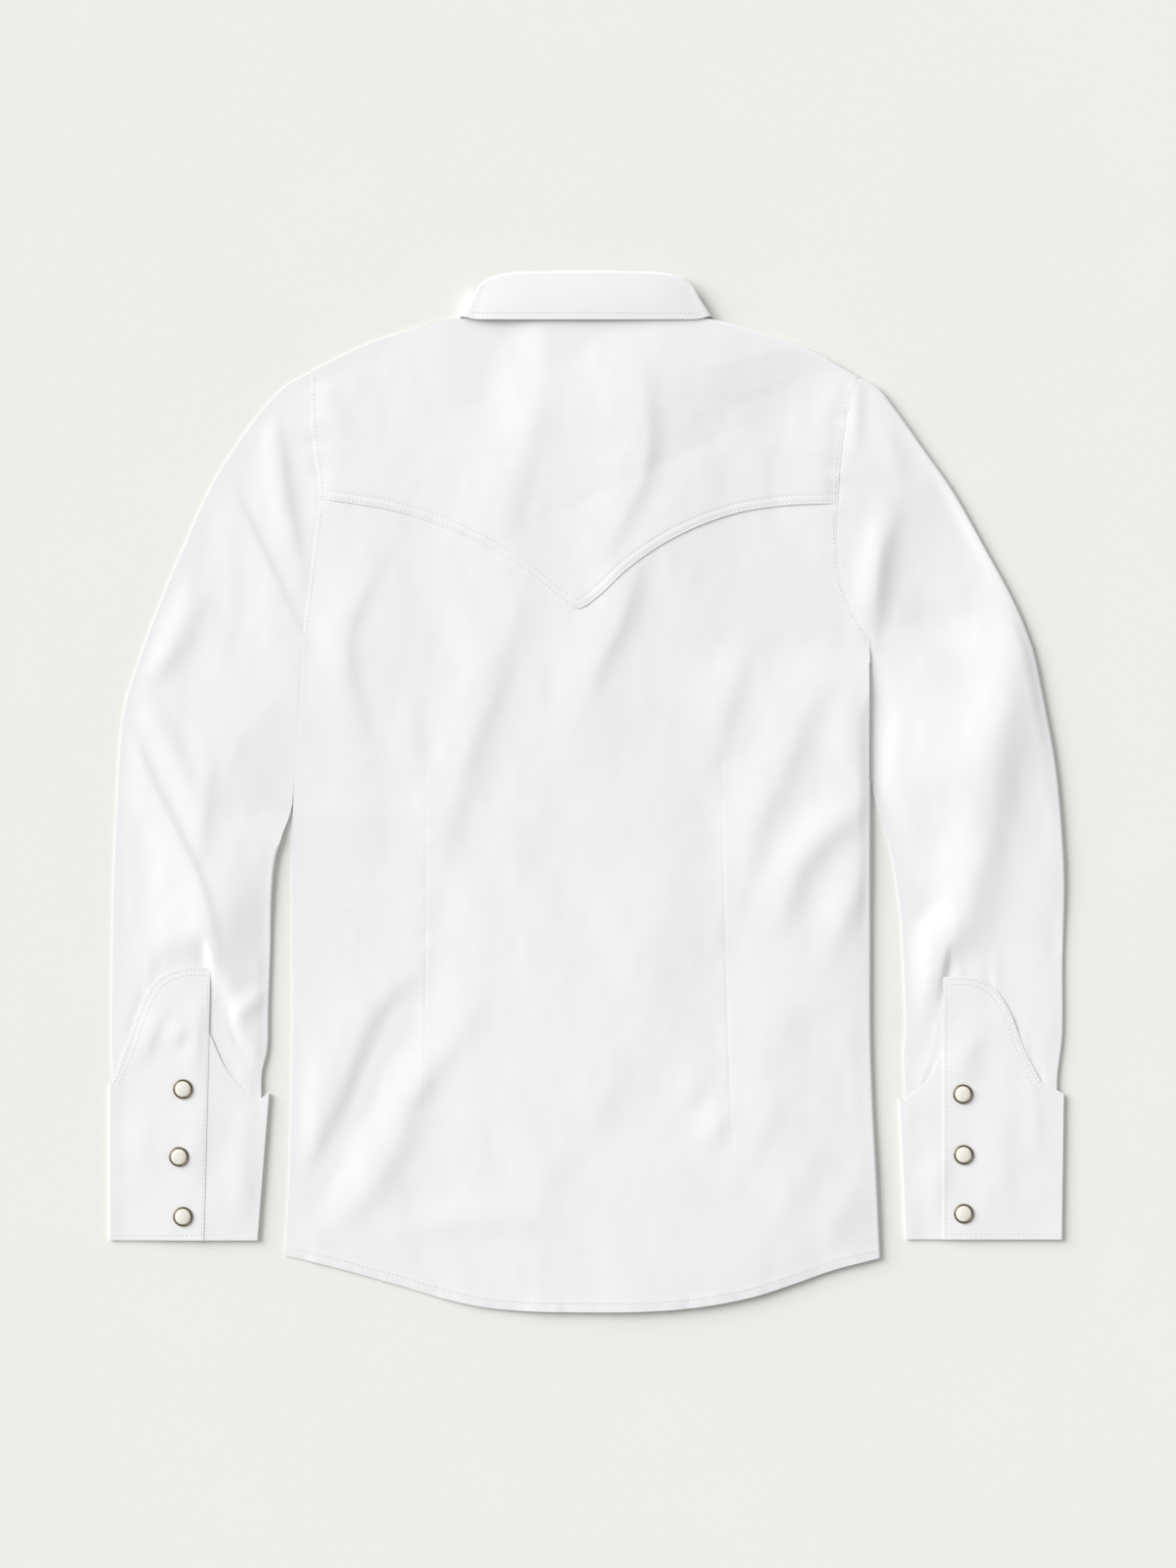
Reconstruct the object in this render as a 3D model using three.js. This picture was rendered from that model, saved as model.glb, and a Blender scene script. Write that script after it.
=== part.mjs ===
// A fitted western snap shirt, laid flat on its front with the back uppermost.
// Millimetres. +X is the wearer's right, +Y runs up the shirt to the collar, +Z is up from the table.
// The table is z = 0 and the fronts and the undersides of the sleeves lie on it.
import * as THREE from "three";
import { mergeVertices } from "three/addons/utils/BufferGeometryUtils.js";

// Driving dimensions: what the cloth is and how high its layers lie.
const CLOTH = 1.0; // wall of one layer of shirting
const DOUBLED = 1.2; // wall of the interlined pieces: collar and cuffs
const SEAM = 0.3; // gap between two pieces that are sewn together
const SEAM_STEP = 0.6; // the edges of back and front stop this far above and below the fold they share
const REST = CLOTH / 2; // middle of a layer that lies on the table
const FOLD_LEVEL = 2.2; // middle of the wall where the back turns over into the front
const SHELF = 4.4; // height the back reaches just inside its edge
const EDGE_ROUND = 5.0; // how far in the upper layer takes to turn over
const UNDER_ROUND = 1.8; // the same for the lower layer
const CROWN = 0.9; // further rise of the back away from its edges
const CROWN_REACH = 30;
const SPINE_RISE = 1.3; // the back rides over the lapped fronts down the middle
const SPINE_REACH = 62;
const HEM_DROP = 1.0;
const HEM_REACH = 16;
const FOLD_FADE = 15; // folds die out this near an edge
const BODY_HALF = 190; // the body lies within this of the centre line, and the sleeves outside it
const BODY_WIDTH = 400;

const SNAP_HEIGHT = 2.2;
const SNAP_RADIUS = 6.7;
const PEARL_RADIUS = 5.4;
const SNAP_SIDES = 12;

const LAP_HALF = 15; // each front passes the centre line by this
const LAP_FLAT = 26; // the lapped fronts stay raised on their snaps this far out
const LAP_RAMP = 56; // and are down on the table here
const LAP_OUTER = SNAP_HEIGHT + SEAM + CLOTH / 2;
const LAP_INNER = LAP_OUTER + CLOTH + SEAM + 0.1;
const UPPER_CLEAR = CLOTH + SEAM; // middle to middle of two layers that lie on each other
const CUFF_CLEAR = CLOTH / 2 + DOUBLED / 2 + SEAM + 0.6;
const YOKE_CLEAR = CLOTH + SEAM + 0.2;

// Outlines seen from above, each a short run of [x, y] that a smooth curve passes through.
const OUTLINE = {
  shoulderLeft: [[-80, 324], [-99.8, 321], [-126, 313.6], [-152.8, 304.2], [-188.9, 286.8]],
  shoulderRight: [[80, 324], [101.8, 318.9], [128.6, 310.9], [155.4, 300.8], [185.6, 283.4]],
  armholeLeft: [[-188.9, 286.8], [-188.7, 266], [-186.9, 239.9], [-183.6, 216.4], [-182.9, 199.7],
    [-185.6, 176.2], [-188.9, 149.4], [-193.6, 109.2]],
  armholeRight: [[185.6, 283.4], [179.6, 263.3], [175.2, 237.9], [172.9, 217.1], [172.2, 197],
    [171.4, 173.5], [174, 146.1], [182, 124.6], [194.3, 104.5]],
  sideLeft: [[-193.6, 109.2], [-197, 45.6], [-200.4, -14.7], [-200.6, -95.1], [-200.6, -168.8],
    [-201.2, -209], [-203.2, -275], [-205.7, -316.9]],
  sideRight: [[194.3, 104.5], [194.3, 45.6], [194.3, -14.7], [194.3, -95.1], [194.5, -168.8],
    [195.8, -209], [198.6, -265], [201, -318.2]],
  hemBack: [[-205.7, -316.9], [-179.6, -323], [-126, -337.7], [-99.2, -345.7], [-72.4, -351.6],
    [-45.6, -354.4], [-5.4, -355.4], [34.8, -355.1], [61.6, -353.6], [88.4, -350.2], [115.2, -344.6],
    [142, -336], [168.8, -326.6], [201, -318.2]],
  yokeEdge: [[-182.9, 200.3], [-159.5, 197], [-132.7, 192.3], [-105.9, 184.2], [-79.1, 172.9],
    [-55.6, 160.1], [-35.5, 146.1], [-18.8, 132.4], [-5.4, 125.3], [8, 133.4], [28.1, 152.1],
    [51.6, 168.8], [78.4, 182.2], [105.2, 191], [135.3, 195.6], [172.2, 197]],
  sleeveLeftOuter: [[-188.9, 286.8], [-205.7, 277.4], [-221.8, 260.6], [-241.9, 233.2],
    [-257.9, 206.4], [-275.4, 167.5], [-292.8, 126], [-307.5, 85.8], [-315.6, 59], [-319.6, 25.5],
    [-321.6, -21.4], [-323.6, -75], [-324.3, -128.6], [-324.6, -172], [-322.6, -192], [-322.4, -214]],
  sleeveLeftInner: [[-193.6, 109.2], [-197, 45.6], [-199.6, 10], [-202.2, -14.7], [-207, -28.1],
    [-212.4, -48.2], [-214.4, -68.3], [-215.7, -108.5], [-217.1, -148.7], [-217.8, -176],
    [-221.4, -192], [-221.8, -214]],
  sleeveRightOuter: [[185.6, 283.4], [199.7, 276], [212.4, 260.6], [231.8, 233.2], [250.6, 206.4],
    [273.4, 166.2], [294.8, 126], [304.9, 99.2], [313.6, 59], [320.9, 18.8], [325, -21.4],
    [327, -61.6], [325.6, -115.2], [325.2, -168], [322, -194], [321.6, -214]],
  sleeveRightInner: [[194.3, 104.5], [194.3, 45.6], [194.8, 5.4], [201, -18.1], [207, -36.2],
    [211.7, -61.6], [215.1, -88.4], [217.1, -128.6], [218.4, -162.1], [216.6, -182], [217.6, -196],
    [218, -214]],
};

// Largest folds. Each is a soft ridge (rise above 0) or trough along a short path of [x, y]:
// lit is its half width on the upper left side, shade on the lower right side.
const FOLDS = [
  { rise: 2.6, lit: 18, shade: 12, path: [[-44, 145], [-74, 50], [-112, -62]] }, // down to the left dart
  { rise: 2.0, lit: 22, shade: 14, path: [[-32, 300], [-44, 235], [-72, 168]] }, // yoke, left of the collar
  { rise: 2.2, lit: 18, shade: 12, path: [[34, 298], [32, 215], [16, 160], [-8, 72]] }, // centre back
  { rise: 1.6, lit: 30, shade: 30, path: [[70, 296], [98, 262], [142, 216]] }, // right shoulder blade
  { rise: 2.0, lit: 15, shade: 11, path: [[156, 70], [114, -14], [90, -80]] }, // right side to right dart
  { rise: 1.8, lit: 14, shade: 10, path: [[180, 6], [152, -32], [132, -58]] },
  { rise: 2.6, lit: 18, shade: 12, path: [[-122, -104], [-172, -158], [-202, -240]] }, // left hip
  { rise: 2.4, lit: 16, shade: 14, path: [[-96, -142], [-130, -204], [-168, -284]] },
  { rise: 1.8, lit: 24, shade: 20, path: [[104, -204], [148, -246], [186, -284]] }, // right hip
  { rise: -1.2, lit: 40, shade: 40, path: [[-40, -275], [30, -285]] }, // hollow above the tail
  { rise: 2.4, lit: 14, shade: 14, path: [[-212, 262], [-204, 214], [-194, 160]] }, // left sleeve head
  { rise: 3.0, lit: 22, shade: 9, path: [[-256, 212], [-231, 168], [-205, 116]] },
  { rise: 2.6, lit: 22, shade: 16, path: [[-300, 42], [-280, 0], [-265, -56], [-256, -96]] },
  { rise: 2.0, lit: 16, shade: 18, path: [[-262, 150], [-282, 100], [-302, 70]] },
  { rise: 2.2, lit: 22, shade: 18, path: [[250, 200], [222, 170], [214, 120]] }, // right sleeve head
  { rise: 3.8, lit: 24, shade: 16, path: [[290, 92], [273, 5], [260, -58], [244, -104]] }, // right elbow
  { rise: 1.6, lit: 12, shade: 12, path: [[312, -40], [308, -110], [302, -160]] },
];

// Curves and edges
const smoothstep = (t) => THREE.MathUtils.smoothstep(t, 0, 1);
const quarter = (t) => Math.sqrt(1 - (1 - Math.min(Math.max(t, 0), 1)) ** 2);
const lerp = THREE.MathUtils.lerp;

function curveOf(rows) {
  const points = rows.map(([x, y, z = 0]) => new THREE.Vector3(x, y, z));
  return new THREE.CatmullRomCurve3(points, false, "centripetal");
}

const CURVE = Object.fromEntries(Object.entries(OUTLINE).map(([name, rows]) => [name, curveOf(rows)]));
const EDGE_STEP = 3; // spacing of the points that distances to an outline are measured from
const YOKE_ENDS = [OUTLINE.yokeEdge[0], OUTLINE.yokeEdge.at(-1)].map(([, y]) => y);

function polyline(curve) {
  return curve.getSpacedPoints(Math.ceil(curve.getLength() / EDGE_STEP));
}

// Nearest place on a polyline: how far off, how far along from 0 to 1, and on which side.
function nearest(line, x, y) {
  let best = { off: Infinity, along: 0, side: 1 };
  for (let i = 0; i + 1 < line.length; i++) {
    const [a, b] = [line[i], line[i + 1]];
    const [dx, dy] = [b.x - a.x, b.y - a.y];
    const t = Math.min(1, Math.max(0, ((x - a.x) * dx + (y - a.y) * dy) / (dx * dx + dy * dy)));
    const off = Math.hypot(x - a.x - t * dx, y - a.y - t * dy);
    if (off < best.off) {
      const side = Math.sign(dx * (y - a.y) - dy * (x - a.x));
      best = { off, along: (i + t) / (line.length - 1), side };
    }
  }
  return best;
}

const GARMENT_EDGES = ["shoulderLeft", "shoulderRight", "sideLeft", "sideRight", "sleeveLeftOuter",
  "sleeveLeftInner", "sleeveRightOuter", "sleeveRightInner"].map((name) => polyline(CURVE[name]));
const HEM_LINE = polyline(CURVE.hemBack);
const YOKE_LINE = polyline(CURVE.yokeEdge);
const distance = (lines, x, y) => Math.min(...lines.map((line) => nearest(line, x, y).off));

// Heights of the cloth
const FOLD_STEPS = 14;
const FOLD_SPAN = [0.12, 0.88]; // the stretch of the half sine that a fold's path takes
const FOLD_REACH = 3; // widths away at which a fold has died out
const FOLD_LINES = FOLDS.map((fold) => ({ ...fold, line: curveOf(fold.path).getSpacedPoints(FOLD_STEPS) }));

// Sum of the folds: each falls off as a bell across its path and as a half sine towards its ends.
function folds(x, y) {
  let sum = 0;
  for (const { rise, lit, shade, line } of FOLD_LINES) {
    const { off, along, side } = nearest(line, x, y);
    const width = side < 0 ? lit : shade; // paths run down the shirt, and the light is on the left
    const height = rise * Math.sin(Math.PI * lerp(...FOLD_SPAN, along));
    if (off < FOLD_REACH * width) sum += height * Math.exp(-((off / width) ** 2));
  }
  return sum;
}

const lapRise = (x) => 1 - smoothstep((Math.abs(x) - LAP_FLAT) / (LAP_RAMP - LAP_FLAT));

// Room the collar leaves need between the fronts and the table.
const LEAF = { rise: DOUBLED + SEAM + 0.4, x: 92, y: 196, ramp: 22 };
const LEAF_SHARE = 0.4; // as much of that rise as reaches the upper layer
const LEAF_SLACK = 0.7; // as much of it as the lower layer takes up
const leafRise = (x, y) =>
  LEAF.rise * (1 - smoothstep((Math.abs(x) - LEAF.x) / LEAF.ramp)) * smoothstep((y - LEAF.y) / LEAF.ramp);
const foldLevel = (x, y) => FOLD_LEVEL + Math.max(0, leafRise(x, y) - LEAF_SLACK);

// Middle of the front that lies at the bottom (outer) or above it in the lap (inner).
function frontHeight(x, y, inner) {
  const lap = (inner ? LAP_INNER : LAP_OUTER) - REST;
  const flat = REST + Math.max(lap * lapRise(x), leafRise(x, y));
  const seam = foldLevel(x, y) - SEAM_STEP;
  return seam + (flat - seam) * quarter(distance(GARMENT_EDGES, x, y) / UNDER_ROUND);
}

// Middle of the upper layer, over body, yoke and sleeves alike.
function topHeight(x, y) {
  const off = distance(GARMENT_EDGES, x, y);
  const body = Math.abs(x) < BODY_HALF;
  const spine = body ? SPINE_RISE * Math.exp(-((x / SPINE_REACH) ** 2)) : 0;
  const hem = HEM_DROP * Math.exp(-nearest(HEM_LINE, x, y).off / HEM_REACH) * (1 - lapRise(x));
  const crown = CROWN * (1 - Math.exp(-off / CROWN_REACH));
  const rise = crown + spine - hem + folds(x, y) * smoothstep(off / FOLD_FADE);
  const single = REST + UPPER_CLEAR; // over one layer
  const lapped = lerp(single, LAP_INNER + UPPER_CLEAR, lapRise(x)) + leafRise(x, y) * LEAF_SHARE;
  const level = Math.max(SHELF + rise, body ? lapped : single);
  const fold = foldLevel(x, y);
  return fold + (level - fold) * quarter(off / EDGE_ROUND);
}

// Solids
function solidOf(positions, faces) {
  const geometry = new THREE.BufferGeometry();
  geometry.setAttribute("position", new THREE.Float32BufferAttribute(positions.flat(), 3));
  geometry.setIndex(faces.flat());
  const merged = mergeVertices(geometry, 1e-3);
  const index = merged.index.array;
  const kept = [];
  for (let i = 0; i < index.length; i += 3) {
    const [a, b, c] = [index[i], index[i + 1], index[i + 2]];
    if (a !== b && b !== c && c !== a) kept.push(a, b, c);
  }
  merged.setIndex(kept);
  const flat = merged.toNonIndexed();
  flat.computeVertexNormals();
  return flat;
}

// A grid of middle points, grid[row][column], thickened to a closed wall. With ring, the columns close on
// themselves. A single thickness is the wall, and its two skins lie half of it to each side.
function wall(grid, thickness, ring = false) {
  const [rows, columns] = [grid.length, grid[0].length];
  const clamp = THREE.MathUtils.clamp;
  const columnOf = (c) => (ring ? (c + columns) % columns : clamp(c, 0, columns - 1));
  const at = (r, c) => grid[clamp(r, 0, rows - 1)][columnOf(c)];
  const normal = (r, c) => {
    const across = at(r, c + 1).clone().sub(at(r, c - 1));
    const along = at(r + 1, c).clone().sub(at(r - 1, c));
    return across.cross(along).normalize();
  };
  const skins = [1, -1].map((side) =>
    grid.map((row, r) => row.map((p, c) => p.clone().addScaledVector(normal(r, c), (side * thickness) / 2))));
  for (const p of skins.flat(2)) p.z = Math.max(p.z, 0); // what lies on the table is flat there
  const points = skins.flat(2);
  const id = (skin, r, c) => skin * rows * columns + r * columns + columnOf(c);
  const faces = [];
  const length = (a, b) => points[a].distanceTo(points[b]);
  const quad = (a, b, c, d) => {
    if (length(a, c) <= length(b, d)) faces.push([a, b, c], [a, c, d]);
    else faces.push([b, c, d], [b, d, a]);
  };
  const lastColumn = ring ? columns : columns - 1;
  const [lastRow, edge] = [rows - 1, columns - 1];
  for (let r = 0; r + 1 < rows; r++) {
    for (let c = 0; c < lastColumn; c++) {
      quad(id(0, r, c), id(0, r, c + 1), id(0, r + 1, c + 1), id(0, r + 1, c));
      quad(id(1, r, c), id(1, r + 1, c), id(1, r + 1, c + 1), id(1, r, c + 1));
    }
    if (!ring) {
      quad(id(0, r, 0), id(0, r + 1, 0), id(1, r + 1, 0), id(1, r, 0));
      quad(id(0, r + 1, edge), id(0, r, edge), id(1, r, edge), id(1, r + 1, edge));
    }
  }
  for (let c = 0; c < lastColumn; c++) {
    quad(id(0, 0, c + 1), id(0, 0, c), id(1, 0, c), id(1, 0, c + 1));
    quad(id(0, lastRow, c), id(0, lastRow, c + 1), id(1, lastRow, c + 1), id(1, lastRow, c));
  }
  return solidOf(points.map((p) => p.toArray()), faces);
}

// Coons patch: the surface that four boundary curves span, a from 0 to 1 across and v from 0 to 1 up.
function coons(bottom, top, left, right) {
  const corner = [bottom(0), bottom(1), top(0), top(1)];
  return (a, v) => new THREE.Vector3()
    .addScaledVector(left(v), 1 - a).addScaledVector(right(v), a)
    .addScaledVector(bottom(a), 1 - v).addScaledVector(top(a), v)
    .addScaledVector(corner[0], -(1 - a) * (1 - v)).addScaledVector(corner[1], -a * (1 - v))
    .addScaledVector(corner[2], -(1 - a) * v).addScaledVector(corner[3], -a * v);
}

// Stations from 0 to 1 across a width, close together at the ends where the cloth turns over.
const TURN = [0, 0.5, 1.7, 4.0, 8.5];
function stations(width, inner, atStart = TURN, atEnd = TURN) {
  const start = atStart.map((d) => d / width);
  const end = atEnd.map((d) => 1 - d / width).reverse();
  const [from, to] = [start.at(-1), end[0]];
  const middle = Array.from({ length: inner }, (_, i) => lerp(from, to, (i + 1) / (inner + 1)));
  return [...start, ...middle, ...end];
}

const uniform = (n) => Array.from({ length: n + 1 }, (_, i) => i / n);
const lift = (p, height) => new THREE.Vector3(p.x, p.y, height);

// Two curves run one after the other, the first for the share of the parameter that joint gives.
const joined = (first, second, joint) => (t) =>
  t < joint ? first(t / joint) : second((t - joint) / (1 - joint));
const forward = (curve) => (t) => curve.getPointAt(THREE.MathUtils.clamp(t, 0, 1));
const backward = (curve) => (t) => curve.getPointAt(THREE.MathUtils.clamp(1 - t, 0, 1));
const part = (curve, from, to) => (t) => curve.getPointAt(THREE.MathUtils.clamp(lerp(from, to, t), 0, 1));
const shifted = (run, x, y) => (t) => run(t).add(new THREE.Vector3(x, y, 0));

// Where along a curve it has the height y.
const SEARCH_STEPS = 400;
const alongAt = (curve, y) => {
  const miss = (t) => Math.abs(curve.getPointAt(t).y - y);
  return uniform(SEARCH_STEPS).reduce((best, t) => (miss(t) < miss(best) ? t : best), 0);
};

// Materials
const CLOTH_COLOUR = 0xf4f4f5;
const PEARL_COLOUR = 0xeeebdc;
const RIM_COLOUR = 0x8f8672;
const shirting = new THREE.MeshStandardMaterial({ color: CLOTH_COLOUR, roughness: 0.85, metalness: 0 });
const pearl = new THREE.MeshStandardMaterial({ color: PEARL_COLOUR, roughness: 0.25, metalness: 0 });
const rim = new THREE.MeshStandardMaterial({ color: RIM_COLOUR, roughness: 0.3, metalness: 1 });

// Body
const shirt = new THREE.Group();
function add(name, geometry, material = shirting) {
  const mesh = new THREE.Mesh(geometry, material);
  mesh.name = name;
  shirt.add(mesh);
}

const YOKE_LAP = 10; // the back panel runs up under the yoke by this
const ARMHOLE_SHARE = 0.25; // of the back's side

// The panel under the yoke, from the hem to a little under the yoke's edge.
function backPanel() {
  const side = (armhole, seam, yokeY) => joined(backward(seam),
    part(armhole, 1, alongAt(armhole, yokeY + YOKE_LAP)), 1 - ARMHOLE_SHARE);
  const left = side(CURVE.armholeLeft, CURVE.sideLeft, YOKE_ENDS[0]);
  const right = side(CURVE.armholeRight, CURVE.sideRight, YOKE_ENDS[1]);
  const top = shifted(forward(CURVE.yokeEdge), 0, YOKE_LAP);
  const plan = coons(forward(CURVE.hemBack), top, left, right);
  const across = stations(BODY_WIDTH, 17);
  const below = uniform(16).map((v) => v * (1 - ARMHOLE_SHARE));
  const beside = [0.17, 0.34, 0.5, 0.67, 0.84, 1].map((v) => 1 - ARMHOLE_SHARE * (1 - v));
  const up = [...below, ...beside];
  return wall(up.map((v) => across.map((a) => {
    const p = plan(a, v);
    return lift(p, Math.max(topHeight(p.x, p.y), FOLD_LEVEL + SEAM_STEP));
  })), CLOTH);
}

// The western yoke: its turned edge stands on the back panel, and its top meets the collar and shoulders.
const YOKE_STAND = 15; // in from its edge to here it stands at full height
const YOKE_SETTLE = 34; // and here it has come down
const YOKE_COLUMNS = 28;
const NECK_FROM = 8 / YOKE_COLUMNS; // the columns between which its top is the neckline
const NECK_TO = 20 / YOKE_COLUMNS;
const NECK_BACK = [[-80, 324], [-72, 324.9], [-56, 326.2], [-30, 327.1], [0, 327.4], [30, 327.1],
  [56, 326.2], [72, 324.9], [80, 324]];
function yoke() {
  const neck = curveOf(NECK_BACK);
  const top = (a) => {
    if (a < NECK_FROM) return backward(CURVE.shoulderLeft)(a / NECK_FROM);
    if (a <= NECK_TO) return neck.getPointAt((a - NECK_FROM) / (NECK_TO - NECK_FROM));
    return forward(CURVE.shoulderRight)((a - NECK_TO) / (1 - NECK_TO));
  };
  const left = part(CURVE.armholeLeft, alongAt(CURVE.armholeLeft, YOKE_ENDS[0]), 0);
  const right = part(CURVE.armholeRight, alongAt(CURVE.armholeRight, YOKE_ENDS[1]), 0);
  const plan = coons(forward(CURVE.yokeEdge), top, left, right);
  const across = uniform(YOKE_COLUMNS);
  const up = [0, 0.08, 0.19, 0.32, 0.46, 0.6, 0.73, 0.84, 0.92, 0.965, 0.987, 0.996, 1];
  return wall(up.map((v) => across.map((a) => {
    const p = plan(a, v);
    const inFromEdge = nearest(YOKE_LINE, p.x, p.y).off;
    const stand = YOKE_CLEAR * (1 - smoothstep((inFromEdge - YOKE_STAND) / (YOKE_SETTLE - YOKE_STAND)));
    return lift(p, Math.max(topHeight(p.x, p.y), foldLevel(p.x, p.y) + SEAM_STEP) + stand);
  })), CLOTH);
}

// A front: from the side seam and armhole to its lapped edge, and up to the shoulder and neckline.
const FRONT_HEM_RISE = 8; // the front tail is this much shorter than the back
const FRONT_WIDTH = 205;
const FRONT_SIDE = 0.62; // share of its outer edge that is side seam
const FRONT_CENTRE = 0.74; // share of its inner edge that is the lapped edge
const HEM_CORNER = 0.2; // over this share of the width the hem curves up to the side seam
const NECK_LOW = 256.4;
const NECK_FRONT = [[0, 255.9], [18, 257.2], [36.6, 264.1], [58, 278.9], [72.2, 297.2],
  [79.2, 314.7], [80, 324]];
function front(sign, inner) {
  const [side, armhole, shoulder] = sign < 0
    ? [CURVE.sideLeft, CURVE.armholeLeft, CURVE.shoulderLeft]
    : [CURVE.sideRight, CURVE.armholeRight, CURVE.shoulderRight];
  const [hemFrom, hemTo] = [OUTLINE.hemBack[0][0], OUTLINE.hemBack.at(-1)[0]];
  const hemY = (x) => {
    const reach = THREE.MathUtils.clamp((x - hemFrom) / (hemTo - hemFrom), 0, 1);
    return CURVE.hemBack.getPointAt(reach).y + FRONT_HEM_RISE;
  };
  const lapX = -sign * LAP_HALF;
  const corner = side.getPointAt(1);
  const hem = (a) => {
    const x = lerp(lapX, corner.x, a);
    return new THREE.Vector3(x, lerp(hemY(x), corner.y, smoothstep((a - 1) / HEM_CORNER + 1)), 0);
  };
  const neck = curveOf([[lapX, NECK_LOW], ...NECK_FRONT.map(([x, y]) => [sign * x, y])]);
  const neckStart = new THREE.Vector3(lapX, NECK_LOW, 0);
  const centre = (t) => hem(0).lerp(neckStart, t);
  const inside = joined(centre, forward(neck), FRONT_CENTRE);
  const outside = joined(backward(side), backward(armhole), FRONT_SIDE);
  const plan = coons(hem, forward(shoulder), inside, outside);
  const across = stations(FRONT_WIDTH, 4, [0, 14, 28, 38, 48, 60], [0, 0.4, 1.8, 9]);
  const upper = [0.66, 0.7, 0.74, 0.78, 0.82, 0.86, 0.9, 0.94, 0.97, 0.988, 0.997, 1];
  const up = [...uniform(9).map((v) => v * FRONT_SIDE), ...upper];
  return wall(up.map((v) => across.map((a) => {
    const p = plan(a, v);
    return lift(p, frontHeight(p.x, p.y, inner));
  })), CLOTH);
}

// Sleeves
const SLEEVE_RISE = CUFF_CLEAR + 0.1; // its lower layer climbs over the underside of the cuff
const CUFF_LINE = -196; // where the cuff's underside begins
const CLIMB = { from: 16, over: 13 }; // above that line, and the length that the climb takes
const ARMHOLE_GAP = SEAM + 0.4; // sideways between sleeve and armhole
const SIDE_GAP = 1.4 * CLOTH; // further, beside the body's side
const ARMHOLE_BEND = [0.3, 0.03]; // share of the sleeve that follows the armhole, at shoulder and underarm

function sleeve(sign) {
  const name = sign < 0 ? "Left" : "Right";
  const [outer, inner] = [CURVE["sleeve" + name + "Outer"], CURVE["sleeve" + name + "Inner"]];
  const armhole = CURVE["armhole" + name];
  const gap = (a) => sign * (ARMHOLE_GAP + SIDE_GAP * smoothstep((a - 0.6) / 0.35));
  const apart = (run, a) => (t) => run(t).add(new THREE.Vector3(gap(a ?? t), 0, 0));
  const head = apart(forward(armhole));
  const outside = apart(forward(outer), 0);
  const inside = apart(forward(inner), 1);
  // Lines straight across the sleeve, bent to the armhole's curve near it, and least at the underarm.
  const plan = (a, s) => {
    const bend = lerp(...ARMHOLE_BEND, smoothstep((a - 0.5) / 0.45));
    const fromStraight = head(a).sub(outside(0).lerp(inside(0), a));
    const curved = fromStraight.multiplyScalar(1 - smoothstep(s / bend));
    return outside(s).lerp(inside(s), a).add(curved);
  };
  const lengths = [0, 0.013, ...uniform(18).slice(1)];
  return wall(lengths.map((s) => {
    const width = plan(0, s).distanceTo(plan(1, s));
    const upper = stations(width, 5, [0, 0.6, 2, 6], [0, 0.6, 2, 6, 13]);
    const lower = stations(width, 4, [0, 0.4, 1.6], [0, 0.4, 1.6, 5, 12]).slice(1, -1).reverse();
    const ring = [];
    for (const a of upper) {
      const p = plan(a, s);
      const edge = a === 0 || a === 1;
      ring.push(lift(p, edge ? FOLD_LEVEL : topHeight(p.x - gap(a), p.y)));
    }
    for (const a of lower) {
      const p = plan(a, s);
      const lie = REST + SLEEVE_RISE * smoothstep((CUFF_LINE + CLIMB.from - p.y) / CLIMB.over);
      const off = Math.min(a, 1 - a) * width;
      ring.push(lift(p, FOLD_LEVEL + (lie - FOLD_LEVEL) * quarter(off / UNDER_ROUND)));
    }
    return sign < 0 ? ring : ring.reverse();
  }), CLOTH, true);
}

// Cuffs: one strip each, shaped along its upper edge, wrapped round the sleeve and lapped on top.
// x and y are where the strip's upper edge is, x and hem where its lower edge is.
const CUFF = {
  left: {
    lap: [[-256.6, -120, -261.3], [-263.8, -119.6, -268], [-272, -119.9, -275],
      [-282.7, -122.6, -284], [-293.5, -128.6, -292], [-303, -144, -300], [-312, -168, -309],
      [-319, -187, -317]],
    outer: [[-325.6, -199.5, -325.6]],
    under: [[-216.5, -206, -224.5]],
    inner: [[-223, -211, -230], [-232, -205, -238], [-246, -189, -250], [-258, -163, -262],
      [-269, -140, -272], [-280, -132, -284]],
    hem: -306.4,
  },
  right: {
    lap: [[243.9, -126.6, 243.9], [250, -126.2, 250], [257.3, -126, 257], [268, -128, 268], [279, -134, 279],
      [290.1, -151.4, 290], [299, -175, 300], [311, -198.5, 312]],
    outer: [[326.4, -206.4, 325]],
    under: [[214.2, -210, 218.6]],
    inner: [[221, -208.4, 224], [229, -202.5, 230], [236, -194, 237], [241.5, -182, 243], [247, -168, 249],
      [254, -158, 256]],
    hem: -305.8,
  },
};
const CUFF_LAP_RISE = DOUBLED + SEAM + 0.1;
const CUFF_ROWS = 7;
const CUFF_OVER = { from: 14, over: 12 }; // off the end beneath, and the length in which the lap rises
const CUFF_EASE = 7; // in from its sides over which the cuff takes the sleeve's height
const CUFF_TURN = [4.2, 1.7, 0.5]; // columns this far in from its sides, on top
const CUFF_UNDER_TURN = [0.4, 1.6]; // and beneath
const TURN_DROP = { outer: 0.9, under: -0.5 }; // slope of the upper edge on the turned columns

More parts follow.
